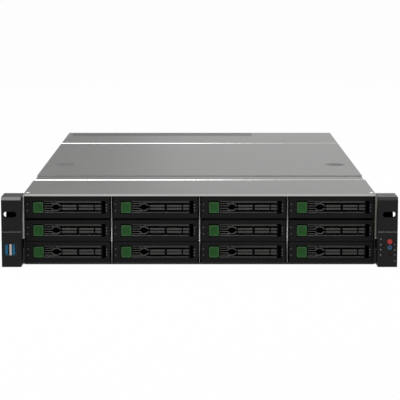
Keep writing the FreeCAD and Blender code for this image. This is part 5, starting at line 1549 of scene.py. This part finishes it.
def handle_line():
    """Points and directions along the handle, from one leg round to the other."""
    far = SUPPLY_REACH - HANDLE_SECTION[0]
    line = [((HANDLE_LEGS[0], 0), (0, 1))]
    for centre, start in ((HANDLE_LEGS[0] + HANDLE_BEND, 180), (HANDLE_LEGS[1] - HANDLE_BEND, 90)):
        for step in range(7):
            angle = math.radians(start - 90 * step / 6)
            line.append(((centre + HANDLE_BEND * math.cos(angle), far - HANDLE_BEND + HANDLE_BEND * math.sin(angle)),
                         (math.sin(angle), -math.cos(angle))))
    line.append(((HANDLE_LEGS[1], 0), (0, -1)))
    return line


for number in (1, 2):
    body = "power_supply_%d" % number
    case = (body, "supply_case", [body])
    low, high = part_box(body)
    middle, face, base = (low.x + high.x) / 2, high.y - SUPPLY_REACH, low.z
    half, tall = (high.x - low.x) / 2, high.z - low.z
    centre_z = base + tall / 2

    skin = bmesh.new()
    lattice(skin, (low.x, low.x + SUPPLY_SHEET, high.x - SUPPLY_SHEET, high.x),
            (base, base + SUPPLY_SHEET, high.z - SUPPLY_SHEET, high.z), (low.y, face - SUPPLY_SHEET),
            lambda i, j: not (i == 1 and j == 1))
    block(skin, (low.x, low.y, base), (high.x, low.y + SUPPLY_SHEET, high.z))
    block(skin, (low.x + SUPPLY_SHEET / 2, face - 30 * MM, base + SUPPLY_SHEET / 2),
          (high.x - SUPPLY_SHEET / 2, face - 28 * MM, high.z - SUPPLY_SHEET / 2))
    finished("supply_can_%d" % number, made_mesh("can", skin), [supply_steel], *case, edge=0.3 * MM)

    plate_x = [low.x, middle + INLET_X[0], middle + INLET_X[1], middle + VENT_X[0], middle + VENT_X[1], high.x]
    plate_z = [base, base + 3 * MM, centre_z - 10 * MM, centre_z - 7 * MM, centre_z + 7 * MM, centre_z + 10 * MM,
               high.z - 3 * MM, high.z]

    def face_kept(i, j):
        inlet = i == 1 and j in (2, 3, 4)
        vent = i == 3 and 1 <= j <= 5
        return not (inlet or vent)

    skin = bmesh.new()
    lattice(skin, plate_x, plate_z, (face - SUPPLY_SHEET, face), face_kept)
    for leg in HANDLE_LEGS:
        block(skin, (middle + leg - 3.2 * MM, face - SUPPLY_SHEET, centre_z - 6.2 * MM),
              (middle + leg + 3.2 * MM, face - 0.1 * MM, centre_z + 6.2 * MM))
    finished("supply_face_%d" % number, made_mesh("face", skin), [supply_steel], *case, edge=0.12 * MM)
    finished("supply_honeycomb_%d" % number,
             honeycomb_sheet((plate_x[3], plate_z[1]), (plate_x[4], plate_z[6]), 4.4 * MM, 0.9 * MM,
                             (face - SUPPLY_SHEET + PROUD, face - PROUD), supply_steel),
             [], *case)
    finished("supply_fan_%d" % number,
             shifted(rotor(16.5 * MM, 8.0 * MM, 12.0 * MM), (middle + 11 * MM, face - 18 * MM, centre_z)),
             [fan_black], *case)

    skin = bmesh.new()
    lofted(skin, [[(middle + (INLET_X[0] + INLET_X[1]) / 2 + x, face + y, centre_z + z)
                   for x, z in rounded_outline(half_x * MM, half_z * MM, 1.5 * MM)]
                  for half_x, half_z, y in ((13.4, 9.9, -INLET_DEPTH - 2 * MM), (13.4, 9.9, -0.1 * MM),
                                            (12.2, 8.4, -0.1 * MM), (12.0, 8.2, -INLET_DEPTH))])
    finished("supply_inlet_%d" % number, made_mesh("inlet", skin), [inlet_black], *case, edge=0.3 * MM)
    pins = [(middle + (INLET_X[0] + INLET_X[1]) / 2 + step * 7 * MM, centre_z + lift * MM)
            for step, lift in ((-1, -2), (0, 2), (1, -2))]
    finished("inlet_pins_%d" % number,
             boxes("pins", *(((x - 1 * MM, face - INLET_DEPTH, z - 2 * MM), (x + 1 * MM, face - 1.5 * MM, z + 2 * MM))
                             for x, z in pins)), [plated], *case, edge=0.35 * MM)

    skin = bmesh.new()
    lofted(skin, [[(middle + x - v * along[1], face + y + v * along[0], centre_z + w)
                   for v, w in rounded_outline(HANDLE_SECTION[0], HANDLE_SECTION[1], 1.6 * MM)]
                  for (x, y), along in handle_line()])
    finished("supply_handle_%d" % number, made_mesh("handle", skin), [handle_grey], *case)
    finished("supply_lamp_%d" % number,
             turned([(1.3 * MM, face - 2 * MM), (1.3 * MM, face + 0.1 * MM), (0.9 * MM, face + 0.35 * MM),
                     (0.2 * MM, face + 0.4 * MM)], (high.x - 5 * MM, high.z - 6 * MM), steps=16),
             [lamp_green], *case)

    name = "supply_latch_%d" % number
    low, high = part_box(name)
    ribs = [low.z + 1.5 * MM + rib * (high.z - low.z - 3 * MM) / (LATCH_RIBS - 1) for rib in range(LATCH_RIBS)]
    finished(name + "_tab",
             boxes("latch", ((high.x - LATCH_SHEET, low.y, low.z), (high.x, high.y - 1 * MM, high.z)),
                   ((low.x, high.y - LATCH_SHEET, low.z), (high.x, high.y, high.z)),
                   *(((low.x + 0.6 * MM, low.y + 4 * MM, z - 0.5 * MM),
                      (high.x - LATCH_SHEET + 0.2 * MM, high.y - 1 * MM, z + 0.5 * MM)) for z in ribs)),
             [latch_green], name, "latch_plastic", [name], edge=0.5 * MM)


# ---------------------------------------------------------------- screws
# One size of cross-recessed screw holds the brackets, the covers and the main board. The
# cover and cage screws sit sunk, the others stand proud.

HEAD_SINK = 1.25 * MM
CROSS_REACH = 1.75 * MM
CROSS_HALF = 0.42 * MM
BRACKET_SCREW_Y = -336.0 * MM


def screw_head():
    """A domed head with a cross recess, standing on z 0."""
    corners = []
    for quarter in range(4):
        turn = math.radians(90 * quarter)
        for x, y in ((CROSS_REACH, -CROSS_HALF), (CROSS_REACH, CROSS_HALF), (CROSS_HALF, CROSS_HALF)):
            corners.append((x * math.cos(turn) - y * math.sin(turn), x * math.sin(turn) + y * math.cos(turn)))
    cross = []
    for one, two in zip(corners, corners[1:] + corners[:1]):
        cross += [one, ((one[0] + two[0]) / 2, (one[1] + two[1]) / 2)]
    count = len(cross)
    start = math.atan2(*cross[0][::-1])
    rings = []
    for radius, level in ((3.0, 0), (3.0, 0.45), (2.75, 0.95), (2.2, 1.28)):
        rings.append([(x, y, level * MM) for x, y in circle(radius * MM, count, start)])
    for share, level in ((1.0, 1.4), (0.85, 0.5)):
        rings.append([(x * share, y * share, level * MM) for x, y in cross])
    mesh = loft_mesh("screw_head", rings)
    mesh.materials.append(screw_zinc)
    return mesh


screw_zinc = sheet_steel("screw_zinc", (0.60, 0.60, 0.58), (0.50, 0.50, 0.48), 0.28)
screws_low, screws_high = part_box("screws")
heads = []
for side, facing in ((-1, LEFT), (1, RIGHT)):
    outside = side * (screws_high.x - 1.4 * MM)
    for height in (17, 39, 61):
        heads.append(((outside, BRACKET_SCREW_Y, height * MM), facing, 1.0))
    for y in (-294, -254, 238, 324):
        heads.append(((side * (TRAY_HALF - HEAD_SINK), y * MM, 83 * MM), facing, 0.86))
    heads.append(((side * 211.8 * MM, -363 * MM, cover_high.z - HEAD_SINK), UP, 0.86))
for x in (-108, 32.5, 173):
    for y in (42, 188, 334):
        if (x, y) != (32.5, 188):
            heads.append(((x * MM, y * MM, board_top), UP, 1.0))
finished("screw_heads", repeated(screw_head(), heads), [], "chassis", "screw_steel", ["screws"])
